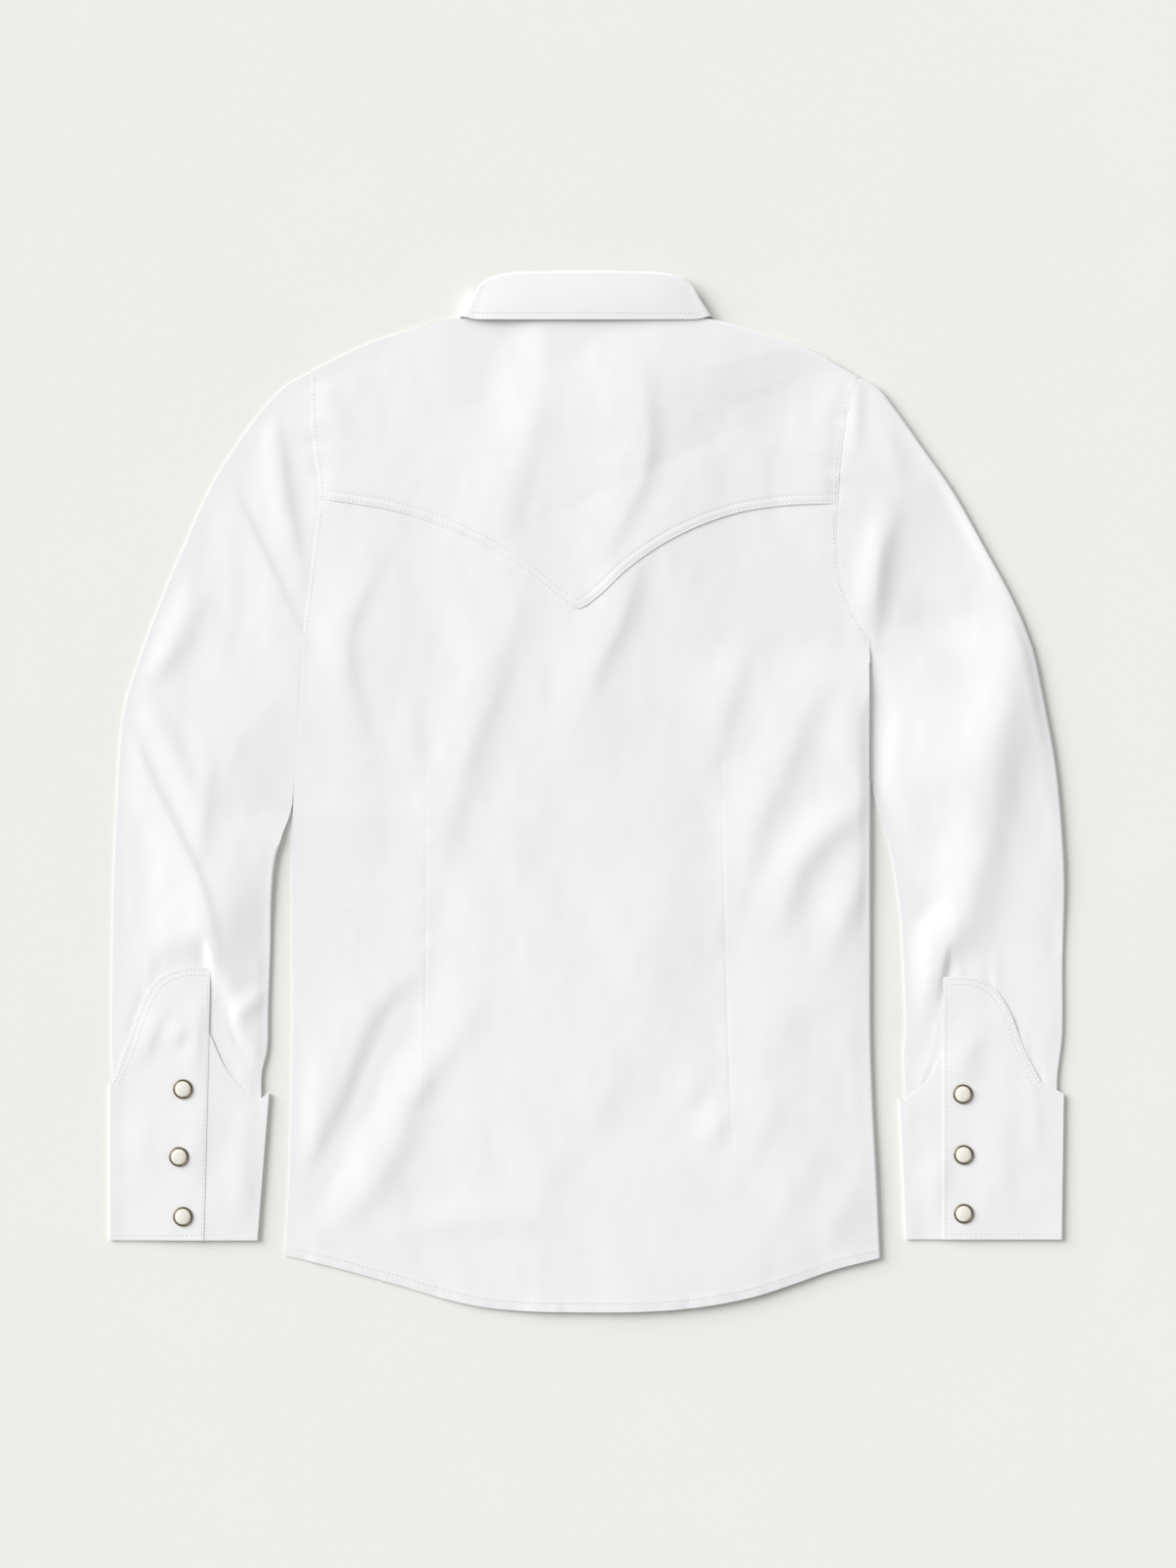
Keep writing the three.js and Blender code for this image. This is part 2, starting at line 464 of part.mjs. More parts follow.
function cuff(sign) {
  const { lap, outer, under, inner, hem } = sign < 0 ? CUFF.left : CUFF.right;
  const outerEdge = curveOf([[outer[0][0], outer[0][1]], [outer[0][2], hem]]);
  const innerEdge = curveOf([[under[0][0], under[0][1]], [under[0][2], hem]]);
  const edges = [polyline(outerEdge), polyline(innerEdge)];
  const upTop = (x, y, raise = 0) => {
    const off = distance(edges, x, y);
    const level = lerp(SHELF, topHeight(x, y), smoothstep(off / CUFF_EASE)) + CUFF_CLEAR;
    return FOLD_LEVEL + (level + raise - FOLD_LEVEL) * quarter(off / EDGE_ROUND);
  };
  const fold = () => FOLD_LEVEL;
  const low = (off) => FOLD_LEVEL + (DOUBLED / 2 - FOLD_LEVEL) * quarter(off / UNDER_ROUND);
  // Lapping over the end beneath it, the strip rises.
  const innerEnd = Math.abs(inner.at(-1)[0]);
  const lapped = (x, y) => {
    const over = smoothstep((innerEnd + CUFF_OVER.from - Math.abs(x)) / CUFF_OVER.over);
    return upTop(x, y, CUFF_LAP_RISE * over);
  };
  // One column of the strip: where its two edges are, and what height it takes at a point of the plan.
  const columns = [];
  const column = (xTop, yTop, xHem, height) => columns.push({ xTop, yTop, xHem, height });
  const [ox, oy, oh] = outer[0];
  const [ux, uy, uh] = under[0];
  const inward = -sign;
  for (const [xTop, yTop, xHem] of lap) column(xTop, yTop, xHem, lapped);
  for (const d of CUFF_TURN) column(ox + inward * d, oy + d * TURN_DROP.outer, oh + inward * d, upTop);
  column(ox, oy, oh, fold);
  for (const d of CUFF_UNDER_TURN) column(ox + inward * d, oy, oh + inward * d, () => low(d));
  for (const t of [0.33, 0.66]) {
    column(lerp(ox, ux, t), lerp(oy, uy, t), lerp(oh, uh, t), () => DOUBLED / 2);
  }
  for (const d of CUFF_UNDER_TURN.toReversed()) column(ux - inward * d, uy, uh - inward * d, () => low(d));
  column(ux, uy, uh, fold);
  for (const d of CUFF_TURN.toReversed()) {
    column(ux - inward * d, uy + d * TURN_DROP.under, uh - inward * d, upTop);
  }
  for (const [xTop, yTop, xHem] of inner) column(xTop, yTop, xHem, upTop);
  const grid = uniform(CUFF_ROWS).map((v) => columns.map(({ xTop, yTop, xHem, height }) => {
    const [x, y] = [lerp(xHem, xTop, v), lerp(hem, yTop, v)];
    return new THREE.Vector3(x, y, height(x, y));
  }));
  return wall(sign < 0 ? grid : grid.reverse(), DOUBLED);
}

// Collar: a stand round the neck and the fall that folds down over it. Stations run from the centre back
// to the centre front; stand is the stand's lower edge, top its upper edge, fall the fall's lower edge.
const COLLAR = [
  { stand: [0, 328.6, 6.9], top: [0, 353.2, 16.4], fall: [0, 322.3, 11.4] },
  { stand: [30, 328.4, 6.7], top: [28, 352.8, 16.1], fall: [33, 322.3, 11.2] },
  { stand: [56, 327.8, 6.0], top: [50, 351.0, 14.4], fall: [60, 322.5, 10.2] },
  { stand: [71.6, 327.4, 5.2], top: [63, 347.2, 11.4], fall: [75, 323.4, 8.2] },
  { stand: [78.0, 327.6, 3.4], top: [69, 340.2, 7.4], fall: [83.6, 327.0, 4.4] },
  { stand: [77.0, 316.6, 1.8], top: [67.6, 330.2, 4.0], fall: [86.6, 325.8, 0.8] },
  { stand: [71.0, 298.6, 2.2], top: [60, 315.6, 2.4], fall: [86, 309, 0.6] },
  { stand: [57.0, 280.8, 2.2], top: [46, 302, 2.2], fall: [84.4, 284, 0.6] },
  { stand: [36, 266.2, 2.5], top: [29, 292.5, 2.5], fall: [79, 256, 0.6] },
  { stand: [18, 259.2, 3.1], top: [15, 288.4, 3.1], fall: [67, 226, 0.6] },
];
const STAND_FRONT = [
  { stand: [0, 257.8, 3.1], top: [0, 287.2, 3.1] },
  { stand: [-13, 258.4, 3.1], top: [-12, 287.8, 3.1] },
];
const STAND_INNER_RISE = DOUBLED + SEAM + 0.1; // the stand's end beneath the lap lies above the outer one
const mirror = ([x, y, z]) => [-x, y, z];
const mirrored = (station) =>
  Object.fromEntries(Object.entries(station).map(([key, point]) => [key, mirror(point)]));
const STAND_ROWS = [0, 0.5, 0.96];
const FALL_CLEAR = DOUBLED + SEAM + 0.5; // the fall hangs off the stand by this
const FALL_ROWS = [0.25, 0.5, 0.75, 1];
const CREST = { rise: SEAM + DOUBLED / 2 + 1.0, out: 0.7 }; // its fold over the stand's upper edge
const CREST_DROP = 0.6; // and how far below that the fall begins to hang
const LEAVES = [0.28, 0.72]; // outside this stretch of its length the fall lies as the two leaves
const LEAF_MIDDLE = DOUBLED / 2 + 0.02;

function collarStand() {
  const outer = [...COLLAR, ...STAND_FRONT];
  const raise = ({ stand, top }) => {
    const rise = STAND_INNER_RISE * (1 - smoothstep((stand[0] - 14) / 24));
    const front = stand[1] < 290 ? rise : 0;
    return { stand: [stand[0], stand[1], stand[2] + front], top: [top[0], top[1], top[2] + front] };
  };
  const inner = outer.slice(1).map(raise).map(mirrored).reverse();
  const all = [...inner, ...outer];
  const [low, high] = [curveOf(all.map((s) => s.stand)), curveOf(all.map((s) => s.top))];
  const steps = uniform((all.length - 1) * 2);
  const row = (v) => steps.map((t) => low.getPoint(t).lerp(high.getPoint(t), v));
  return wall(STAND_ROWS.map(row), DOUBLED);
}

function collarFall() {
  const all = [...COLLAR.slice(1).map(mirrored).reverse(), ...COLLAR];
  const [low, high, edge] = ["stand", "top", "fall"].map((key) => curveOf(all.map((s) => s[key])));
  const steps = uniform((all.length - 1) * 2);
  const columns = steps.map((t) => {
    const [stand, top, fall] = [low.getPoint(t), high.getPoint(t), edge.getPoint(t)];
    const rise = top.clone().sub(stand).normalize();
    const out = high.getTangent(t).cross(rise).normalize();
    const crest = top.clone().addScaledVector(rise, CREST.rise).addScaledVector(out, CREST.out);
    const shoulder = top.clone().addScaledVector(out, FALL_CLEAR).addScaledVector(rise, -CREST_DROP);
    if (t < LEAVES[0] || t > LEAVES[1]) {
      crest.z = Math.max(crest.z, LEAF_MIDDLE);
      shoulder.z = LEAF_MIDDLE;
    }
    return [crest, shoulder, ...FALL_ROWS.map((v) => shoulder.clone().lerp(fall, v))];
  });
  return wall(columns[0].map((_, r) => columns.map((column) => column[r])), DOUBLED);
}

// Snaps: a metal ring with a pearl cap set in it. Cuff snaps face up, front snaps face the table.
const SEAT = 0.35 * SNAP_HEIGHT; // height of the ring's inner edge
const RING_DROP = 0.6; // its outer rim reaches this far below the seat
function ringGeometry(up) {
  const [r, inside, h] = [SNAP_RADIUS, PEARL_RADIUS + SEAM, SNAP_HEIGHT];
  const profile = [[inside, SEAT], [r * 0.9, SEAT - RING_DROP], [r, 0.45 * h], [r * 0.95, 0.85 * h],
    [inside, 0.7 * h], [inside, SEAT]];
  return spin(profile.map(([x, z]) => [x, z - (SEAT - RING_DROP)]), up);
}
function pearlGeometry(up) {
  const [r, h] = [PEARL_RADIUS, SNAP_HEIGHT - SEAT + RING_DROP];
  return spin([[0, 0.02], [r, 0.02], [r, 0.62 * h], [r * 0.72, 0.88 * h], [0, h]], up);
}
function spin(profile, up) {
  const points = profile.map(([x, z]) => new THREE.Vector2(x, z));
  const geometry = new THREE.LatheGeometry(points, SNAP_SIDES);
  geometry.rotateX(Math.PI / 2);
  if (!up) geometry.rotateX(Math.PI);
  return geometry;
}
function snap(name, x, y, base, up) {
  add(name + "_ring", ringGeometry(up).translate(x, y, base), rim);
  add(name + "_pearl", pearlGeometry(up).translate(x, y, base), pearl);
}

// Height of a piece's upper face.
const ABOVE_ALL = 60;
const DOWN = new THREE.Vector3(0, 0, -1);
const topOf = (name) => {
  const mesh = shirt.getObjectByName(name);
  const ray = new THREE.Raycaster();
  return (x, y) => {
    ray.set(new THREE.Vector3(x, y, ABOVE_ALL), DOWN);
    return ray.intersectObject(mesh)[0].point.z;
  };
};

// All the pieces
add("back", backPanel());
add("yoke", yoke());
add("front_right", front(1, false));
add("front_left", front(-1, true));
add("sleeve_left", sleeve(-1));
add("sleeve_right", sleeve(1));
add("cuff_left", cuff(-1));
add("cuff_right", cuff(1));
add("collar_stand", collarStand());
add("collar_fall", collarFall());

const CUFF_SNAPS = {
  cuff_left: [[-275.4, -203], [-278.1, -249.2], [-275.4, -290.1]],
  cuff_right: [[257.3, -206.4], [257.9, -247.9], [257.9, -288.1]],
};
for (const [name, places] of Object.entries(CUFF_SNAPS)) {
  const height = topOf(name);
  places.forEach(([x, y], i) => {
    const rimHeight = (t) => {
      const angle = 2 * Math.PI * t;
      return height(x + SNAP_RADIUS * Math.cos(angle), y + SNAP_RADIUS * Math.sin(angle));
    };
    const base = Math.max(...uniform(SNAP_SIDES).map(rimHeight)) + SEAM;
    snap(name.replace("cuff", "cuff_snap") + "_" + (i + 1), x, y, base, true);
  });
}
const FRONT_SNAPS = { top: 232, bottom: -262, count: 7 };
uniform(FRONT_SNAPS.count - 1).forEach((t, i) => {
  const y = lerp(FRONT_SNAPS.top, FRONT_SNAPS.bottom, t);
  snap("front_snap_" + (i + 1), 0, y, SNAP_HEIGHT, false);
});
const COLLAR_SNAP = { y: 272, base: SNAP_HEIGHT + 0.05 };
snap("collar_snap", 0, COLLAR_SNAP.y, COLLAR_SNAP.base, false);

// The origin is on the table, under the middle of the whole shirt.
const bounds = new THREE.Box3().setFromObject(shirt);
const middle = bounds.getCenter(new THREE.Vector3());
for (const mesh of shirt.children) mesh.position.set(-middle.x, -middle.y, -bounds.min.z);

export default shirt;
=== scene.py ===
import bmesh
import bpy
import numpy as np
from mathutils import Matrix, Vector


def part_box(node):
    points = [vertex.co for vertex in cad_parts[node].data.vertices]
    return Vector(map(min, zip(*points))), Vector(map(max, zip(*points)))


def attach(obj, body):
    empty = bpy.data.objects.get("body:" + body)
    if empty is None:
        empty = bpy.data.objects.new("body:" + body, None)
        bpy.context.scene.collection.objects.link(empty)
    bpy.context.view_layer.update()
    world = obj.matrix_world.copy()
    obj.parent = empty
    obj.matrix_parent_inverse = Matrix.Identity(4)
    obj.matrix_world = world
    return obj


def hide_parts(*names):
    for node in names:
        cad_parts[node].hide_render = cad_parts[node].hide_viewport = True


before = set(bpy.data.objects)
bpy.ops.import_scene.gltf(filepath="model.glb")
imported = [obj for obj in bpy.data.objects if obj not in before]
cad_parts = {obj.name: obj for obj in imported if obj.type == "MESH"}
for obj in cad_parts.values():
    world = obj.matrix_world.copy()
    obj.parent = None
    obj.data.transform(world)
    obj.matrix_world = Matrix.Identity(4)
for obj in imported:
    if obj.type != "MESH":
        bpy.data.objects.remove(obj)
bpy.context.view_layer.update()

# Back panel
# One piece of fine white cotton shirting from the hem to the yoke, with a long dart at each side of
# the waist and a narrow stitched hem. It lies uppermost, over the two fronts.
MM = 0.001
CLOTH = 0.3  # shirting as it lies, with the air that its creases hold
SEAM_STEP = 0.2  # how far back and front stop above and below the fold they share
REST = CLOTH / 2  # middle of a layer that lies on the table
# Edges that face the lamp lie low and rise gently; the others stand higher and throw the shadow.
FOLD_LEVEL = {"lit": 0.4, "shaded": 1.9}  # height at which the back turns over into the front
SHELF = {"lit": 1.9, "shaded": 4.0}  # height that the upper layer reaches inside its edge
TURN_SHARE = {"lit": 0.0, "shaded": 0.88}  # share of that height which it gains in a tight turn
TURN_ROUND = {"lit": 0.3, "shaded": 1.2}  # width of that turn
EASE_REACH = {"lit": 70, "shaded": 24}  # and it reaches the rest of its height gently, over this
CUFF_DROP = 1.8  # by the cuff, the shaded edge of an arm is this much lower
CUFF_DROP_SPAN = (-50, -110)  # down the arm, it drops from the first to the second height
ARM_SPAN = (140, 200)  # up to the first distance between two edges it is an arm, from the second the body
TOUCH_SINK = {"left": 0.02, "right": 0.3}  # share of its height lost where sleeve and body touch
TOUCH_ROUND = {"left": 0.8, "right": 1.8}  # over this, to each side
OPEN_FROM = {"left": -12, "right": 104}  # height at which body and sleeve part, going down
UNDER_ROUND = {"lit": 0.5, "shaded": 1.4}  # how far in the lower layer takes to turn down to the table
CROWN, CROWN_REACH = 0.8, 60  # further rise of the upper layer away from its edges
SPINE_RISE, SPINE_REACH = 0.6, 70  # rise over the lapped fronts
HEM_DROP, HEM_REACH = 1.0, 16  # the tail lies this much lower at its hem
FOLD_FADE = {"lit": 20, "shaded": 9}  # folds die out this near an edge
LAP_SPAN = (26, 56)  # the lapped fronts are raised up to the first x, and down from the second
SNAP_HEIGHT = 2.2  # from the table to the front that a snap is fixed to
LAP_OUTER = SNAP_HEIGHT + 0.1 + REST  # middle of the front nearest the table, in the lap
LAP_INNER = LAP_OUTER + CLOTH + 0.05  # and of the one above it
CUFF_ROOM = 0.35  # room that the underside of the cuff takes under the sleeve
CUFF_ROOM_SPAN = (-180, -193)  # down the arm, it is taken from the first to the second height
ARM_FROM = 206  # both cuffs lie further out than this
LEAF_RISE = 1.45  # room that the collar leaves take under the fronts
LEAF_SPAN_X, LEAF_SPAN_Y = (140, 90), (178, 224)  # from where the leaves end to where they lie whole
LEAF_LIFT = 0.7  # the folds at the shoulders rise by what the leaves take beyond this
UPPER_CLEAR = 0.45  # from middle to middle of two layers that lie on each other
SOFTNESS = 1 / 8  # the upper layer settles on what lies under it within about this
BODY_HALF = 190  # what lies further out is sleeve

# Outlines seen from above, each a run of points that a smooth curve passes through.
OUTLINE = {
    "shoulder_left": [(-80, 324), (-99.8, 321), (-126, 313.6), (-152.8, 304.2), (-188.9, 286.8)],
    "shoulder_right": [(80, 324), (101.8, 318.9), (128.6, 310.9), (155.4, 300.8), (185.6, 283.4)],
    "armhole_left": [
        (-188.9, 286.8), (-188.7, 266), (-186.9, 239.9), (-183.6, 216.4), (-182.9, 199.7),
        (-185.6, 176.2), (-188.9, 149.4), (-193.6, 109.2)],
    "armhole_right": [
        (185.6, 283.4), (179.6, 263.3), (175.2, 237.9), (172.9, 217.1), (172.2, 197),
        (171.4, 173.5), (174, 146.1), (182, 124.6), (194.3, 104.5)],
    "side_left": [
        (-193.6, 109.2), (-197, 45.6), (-200.4, -14.7), (-200.6, -95.1), (-200.6, -168.8),
        (-201.2, -209), (-203.2, -275), (-205.7, -316.9)],
    "side_right": [
        (194.3, 104.5), (194.3, 45.6), (194.3, -14.7), (194.3, -95.1), (194.5, -168.8),
        (195.8, -209), (198.6, -265), (201, -318.2)],
    "hem": [
        (-205.7, -316.9), (-179.6, -323), (-126, -337.7), (-99.2, -345.7), (-72.4, -351.6),
        (-45.6, -354.4), (-5.4, -355.4), (34.8, -355.1), (61.6, -353.6), (88.4, -350.2),
        (115.2, -344.6), (142, -336), (168.8, -326.6), (201, -318.2)],
    "yoke_edge": [
        (-182.9, 200.3), (-159.5, 197), (-132.7, 192.3), (-105.9, 184.2), (-79.1, 172.9),
        (-55.6, 160.1), (-35.5, 146.1), (-18.8, 132.4), (-5.4, 125.3), (8, 133.4),
        (28.1, 152.1), (51.6, 168.8), (78.4, 182.2), (105.2, 191), (135.3, 195.6), (172.2, 197)],
    "sleeve_outer_left": [
        (-188.9, 286.8), (-205.7, 277.4), (-221.8, 260.6), (-241.9, 233.2), (-257.9, 206.4),
        (-275.4, 167.5), (-292.8, 126), (-307.5, 85.8), (-315.6, 59), (-319.6, 25.5),
        (-321.6, -21.4), (-323.6, -75), (-324.3, -128.6), (-324.6, -172), (-323.6, -192),
        (-323.2, -214)],
    "sleeve_inner_left": [
        (-193.6, 109.2), (-197, 45.6), (-199.6, 10), (-202.2, -14.7), (-207, -28.1),
        (-212.4, -48.2), (-214.4, -68.3), (-215.7, -108.5), (-217.1, -148.7), (-217.8, -176),
        (-221.4, -192), (-221.8, -214)],
    "sleeve_outer_right": [
        (185.6, 283.4), (199.7, 276), (212.4, 260.6), (231.8, 233.2), (250.6, 206.4),
        (273.4, 166.2), (294.8, 126), (304.9, 99.2), (313.6, 59), (320.9, 18.8), (325, -21.4),
        (327, -61.6), (325.6, -115.2), (325.2, -168), (322, -194), (321.6, -214)],
    "sleeve_inner_right": [
        (194.3, 104.5), (194.3, 45.6), (194.8, 5.4), (201, -18.1), (207, -36.2),
        (211.7, -61.6), (215.1, -88.4), (217.1, -128.6), (218.4, -162.1), (216.6, -182),
        (217.6, -196), (218, -214)],
}

# Folds: rise in mm (a trough below 0), half width on the upper left flank, half width on the lower
# right flank, and the path of the crest, drawn down the shirt.
FOLDS = [
    # the yoke, and on below it to the darts
    (1.2, 26, 14, [(-30, 305), (-36, 262), (-45, 226), (-56, 196), (-58, 165)]),
    (1.7, 26, 13, [(-42, 146), (-54, 112), (-62, 90), (-71, 62), (-80, 34), (-90, 0), (-99, -30),
                   (-109, -68)]),
    (1.6, 22, 9, [(36, 290), (40, 262), (40, 230), (34, 208), (24, 188), (14, 170)]),
    (1.5, 20, 9, [(38, 166), (29, 138), (20, 112), (11, 95), (3, 78), (-3, 58)]),
    (2.6, 90, 62, [(38, 318), (42, 285), (50, 250), (60, 228)]),
    (-2.2, 58, 30, [(142, 306), (152, 270), (146, 234)]),
    (-1.1, 30, 24, [(-92, 312), (-80, 272), (-76, 236)]),
    (0.8, 14, 9, [(-182, 284), (-173, 262), (-164, 240)]),
    (0.5, 12, 8, [(172, 284), (166, 264), (160, 250)]),
    # the body above the hips
    (1.1, 16, 7, [(-146, 156), (-156, 132), (-163, 114), (-165, 94), (-162, 70), (-157, 50), (-149, 30)]),
    (0.6, 10, 7, [(-121, 66), (-119, 40), (-118, 12)]),
    (0.9, 14, 9, [(113, 104), (100, 72), (92, 46), (87, 22)]),
    (1.5, 20, 12, [(164, 86), (152, 60), (142, 38), (131, 12), (119, -14), (112, -34), (106, -56),
                   (95, -90)]),
    (2.1, 16, 11, [(190, -8), (174, -20), (159, -32), (148, -46), (140, -62), (132, -84)]),
    (1.3, 12, 9, [(188, -48), (182, -70), (174, -88), (168, -110)]),
    (0.8, 10, 9, [(180, 72), (177, 44), (181, 18)]),
    (-1.4, 48, 20, [(-107, 20), (-106, -60), (-108, -150), (-108, -205)]),
    (-0.8, 28, 20, [(96, 20), (95, -70), (97, -160), (100, -230)]),
    (0.6, 22, 18, [(-36, 20), (-44, -20), (-62, -52)]),
    (0.7, 24, 16, [(8, 76), (4, 46), (10, 20)]),
    (0.5, 30, 20, [(44, -80), (40, -118), (52, -150)]),
    # the hips and the tail
    (1.5, 24, 9, [(-113, -112), (-134, -136), (-153, -160), (-163, -186), (-173, -211), (-185, -236),
                  (-197, -270)]),
    (-1.0, 12, 20, [(-124, -150), (-136, -176), (-150, -206), (-166, -236), (-182, -270), (-194, -302)]),
    (1.5, 20, 12, [(-78, -146), (-94, -170), (-110, -192), (-122, -214), (-130, -238), (-142, -262),
                   (-160, -282), (-184, -300)]),
    (0.3, 9, 7, [(-106, -190), (-116, -212)]),
    (0.9, 13, 11, [(-30, -290), (-64, -291), (-96, -293), (-124, -300)]),
    (0.7, 22, 14, [(-14, -236), (-26, -256), (-34, -274)]),
    (0.7, 18, 14, [(18, -196), (8, -214), (4, -236)]),
    (0.6, 12, 9, [(80, -190), (72, -204), (66, -218)]),
    (0.9, 12, 8, [(95, -214), (89, -228), (84, -242)]),
    (1.5, 34, 18, [(126, -204), (114, -232), (100, -258)]),
    (1.6, 32, 18, [(156, -236), (143, -262), (128, -286)]),
    (1.5, 28, 16, [(184, -262), (172, -284), (158, -306)]),
    (0.8, 22, 16, [(150, -130), (138, -150), (132, -172)]),
    # the left sleeve
    (1.2, 10, 6.5, [(-216, 260), (-211, 228), (-206, 198), (-201, 172), (-195, 146)]),
    (0.9, 18, 4, [(-258, 224), (-243, 206), (-231, 182), (-217, 152), (-206, 128), (-195, 106)]),
    (0.7, 12, 7, [(-256, 226), (-250, 214)]),
    (0.5, 12, 8, [(-248, 190), (-245, 150), (-247, 115), (-251, 80)]),
    (1.5, 26, 10, [(-262, 140), (-276, 114), (-288, 94), (-308, 78)]),
    (1.3, 20, 4.2, [(-322, 58), (-307, 28), (-300, 10), (-292, -5), (-282, -25), (-272, -45), (-263, -66),
                    (-252, -112)]),
    (1.2, 10, 8, [(-300, 60), (-288, 38), (-278, 18), (-273, -2)]),
    (1.2, 14, 8, [(-261, 24), (-262, 0), (-263, -20), (-266, -42)]),
    (2.5, 34, 25, [(-238, -52), (-249, -80), (-254, -106), (-251, -130), (-244, -150)]),
    (-1.4, 5, 5, [(-253, -118), (-247, -145), (-241, -168), (-230, -184)]),
    (1.2, 7, 7, [(-219, -140), (-232, -146), (-240, -156)]),
    (0.5, 8, 8, [(-313, 8), (-313, -50), (-309, -106)]),
    (0.4, 10, 8, [(-290, -34), (-288, -70), (-284, -110)]),
    # the right sleeve
    (2.8, 13, 9, [(207, 188), (201, 166), (198, 146), (196, 126), (195, 108)]),
    (-1.7, 42, 22, [(240, 212), (252, 174), (262, 144), (268, 116)]),
    (-1.5, 15, 15, [(270, 114), (240, 113), (214, 118)]),
    (0.7, 6, 4.5, [(186, 282), (185, 256), (184, 232)]),
    (0.5, 8, 6, [(205, 244), (210, 226), (218, 210)]),
    (3.1, 22, 18, [(292, 98), (285, 64), (281, 40), (277, 12), (273, -12), (269, -38), (263, -62),
                   (255, -85), (246, -104), (238, -120)]),
    (1.3, 26, 12, [(257, -80), (246, -104), (236, -123), (228, -143), (221, -166)]),
    (3.3, 62, 38, [(292, 70), (268, 43), (245, 24), (222, 4), (204, -16)]),
    (-1.4, 13, 13, [(250, -76), (232, -80), (212, -80)]),
]
DARTS = [  # the line of each dart's stitches
    [(-109.5, 28), (-109.5, -100), (-110.5, -223)],
    [(92.5, 28), (94, -54), (96.6, -156.6), (100.7, -269)],
]


def smoothstep(t):
    """0 up to t = 0, 1 from t = 1, and 3t^2 - 2t^3 between them."""
    t = np.clip(t, 0, 1)
    return t * t * (3 - 2 * t)


def ramp(value, start, end):
    """0 up to value = start, 1 from value = end, and a smooth step between; end may be the smaller."""
    return smoothstep((value - start) / (end - start))


def quarter(t):
    """A quarter circle: upright at t = 0, and 1 and level from t = 1."""
    return np.sqrt(1 - (1 - np.clip(t, 0, 1)) ** 2)


def curve(rows, by_length=True):
    """Centripetal Catmull-Rom curve through rows, as dense points with the share at which each lies,
    measured along its length, or by counting rows when by_length is off."""
    per_span = 24
    p = np.array(rows, float)
    p = np.vstack([2 * p[0] - p[1], p, 2 * p[-1] - p[-2]])
    d = np.linalg.norm(np.diff(p, axis=0), axis=1)[:, None] ** 0.5
    before, after = p[1:-2], p[2:-1]
    middle = (after - before) / d[1:-1]
    leave = ((before - p[:-3]) / d[:-2] - (after - p[:-3]) / (d[:-2] + d[1:-1]) + middle) * d[1:-1]
    arrive = (middle - (p[3:] - before) / (d[1:-1] + d[2:]) + (p[3:] - after) / d[2:]) * d[1:-1]
    t = np.linspace(0, 1, per_span, endpoint=False)[None, :, None]
    span = ((2 * t**3 - 3 * t**2 + 1) * before[:, None] + (t**3 - 2 * t**2 + t) * leave[:, None]
            + (3 * t**2 - 2 * t**3) * after[:, None] + (t**3 - t**2) * arrive[:, None])
    points = np.vstack([span.reshape(-1, p.shape[1]), p[-2:-1]])
    steps = np.linalg.norm(np.diff(points, axis=0), axis=1) if by_length else np.ones(len(points) - 1)
    share = np.concatenate([[0], np.cumsum(steps)])
    return share / share[-1], points


def at(run, t, start=0.0, end=1.0):
    """Points of a curve at the shares t of its stretch from start to end."""
    share, points = run
    t = np.clip(start + (end - start) * np.asarray(t), 0, 1)
    return np.stack([np.interp(t, share, column) for column in points.T], axis=-1)


def length_of(run):
    """Length of a curve in mm."""
    return np.linalg.norm(np.diff(run[1], axis=0), axis=1).sum()


EDGE = {name: curve(rows) for name, rows in OUTLINE.items()}


def share_at(run, y):
    """Share of a curve's length at which it reaches the height y."""
    share, points = run
    return share[np.argmin(np.abs(points[:, 1] - y))]


def stretch(run, start, end):
    """The stretch of a curve from one share of its length to another, as a curve."""
    return np.linspace(0, 1, 200), at(run, np.linspace(start, end, 200))


# Side seam and sleeve, each in two stretches: below the place where they part, and above it.
APART, TOUCHING = {}, {"left": [], "right": []}
for side, height in OPEN_FROM.items():
    for name in ("side_" + side, "sleeve_inner_" + side):
        open_share = share_at(EDGE[name], height)
        APART[name] = stretch(EDGE[name], open_share, 1)
        TOUCHING[side].append(stretch(EDGE[name], 0, open_share))


def nearest(run, x, y, step=2.5):
    """For points x, y: the distance to a curve, the share of its length there, and the side, which is -1
    to its right, 1 to its left and between the two past its ends. The curve is taken as straight pieces
    of about step mm."""
    count = max(6, int(np.ceil(length_of(run) / step)))
    line = at(run, np.linspace(0, 1, count + 1))[:, :2]
    best, along, side = np.full(x.shape, np.inf), np.zeros(x.shape), np.ones(x.shape)
    for i, (a, b) in enumerate(zip(line[:-1], line[1:])):
        d = b - a
        t = np.clip(((x - a[0]) * d[0] + (y - a[1]) * d[1]) / max(d @ d, 1e-9), 0, 1)
        off = (x - a[0] - t * d[0]) ** 2 + (y - a[1] - t * d[1]) ** 2
        closer = off < best
        best = np.where(closer, off, best)
        along = np.where(closer, (i + t) / count, along)
        side = np.where(closer, (d[0] * (y - a[1]) - d[1] * (x - a[0])) / max(np.hypot(*d), 1e-9), side)
    best = np.sqrt(best)
    return best, along, np.clip(side / np.maximum(best, 1e-6), -1, 1)


def noise(u, v, seed):
    """Smooth value noise from -1 to 1: a fixed random value at each whole u, v, blended between."""
    size = 97
    table = np.random.default_rng(seed).uniform(-1, 1, (size, size))
    u, v = np.broadcast_arrays(np.asarray(u, float), np.asarray(v, float))
    i, j = np.floor(u).astype(int), np.floor(v).astype(int)
    f, g = smoothstep(u - i), smoothstep(v - j)
    i, j, k, m = i % size, j % size, (i + 1) % size, (j + 1) % size
    lower, upper = table[i, j] * (1 - f) + table[k, j] * f, table[i, m] * (1 - f) + table[k, m] * f
    return lower * (1 - g) + upper * g


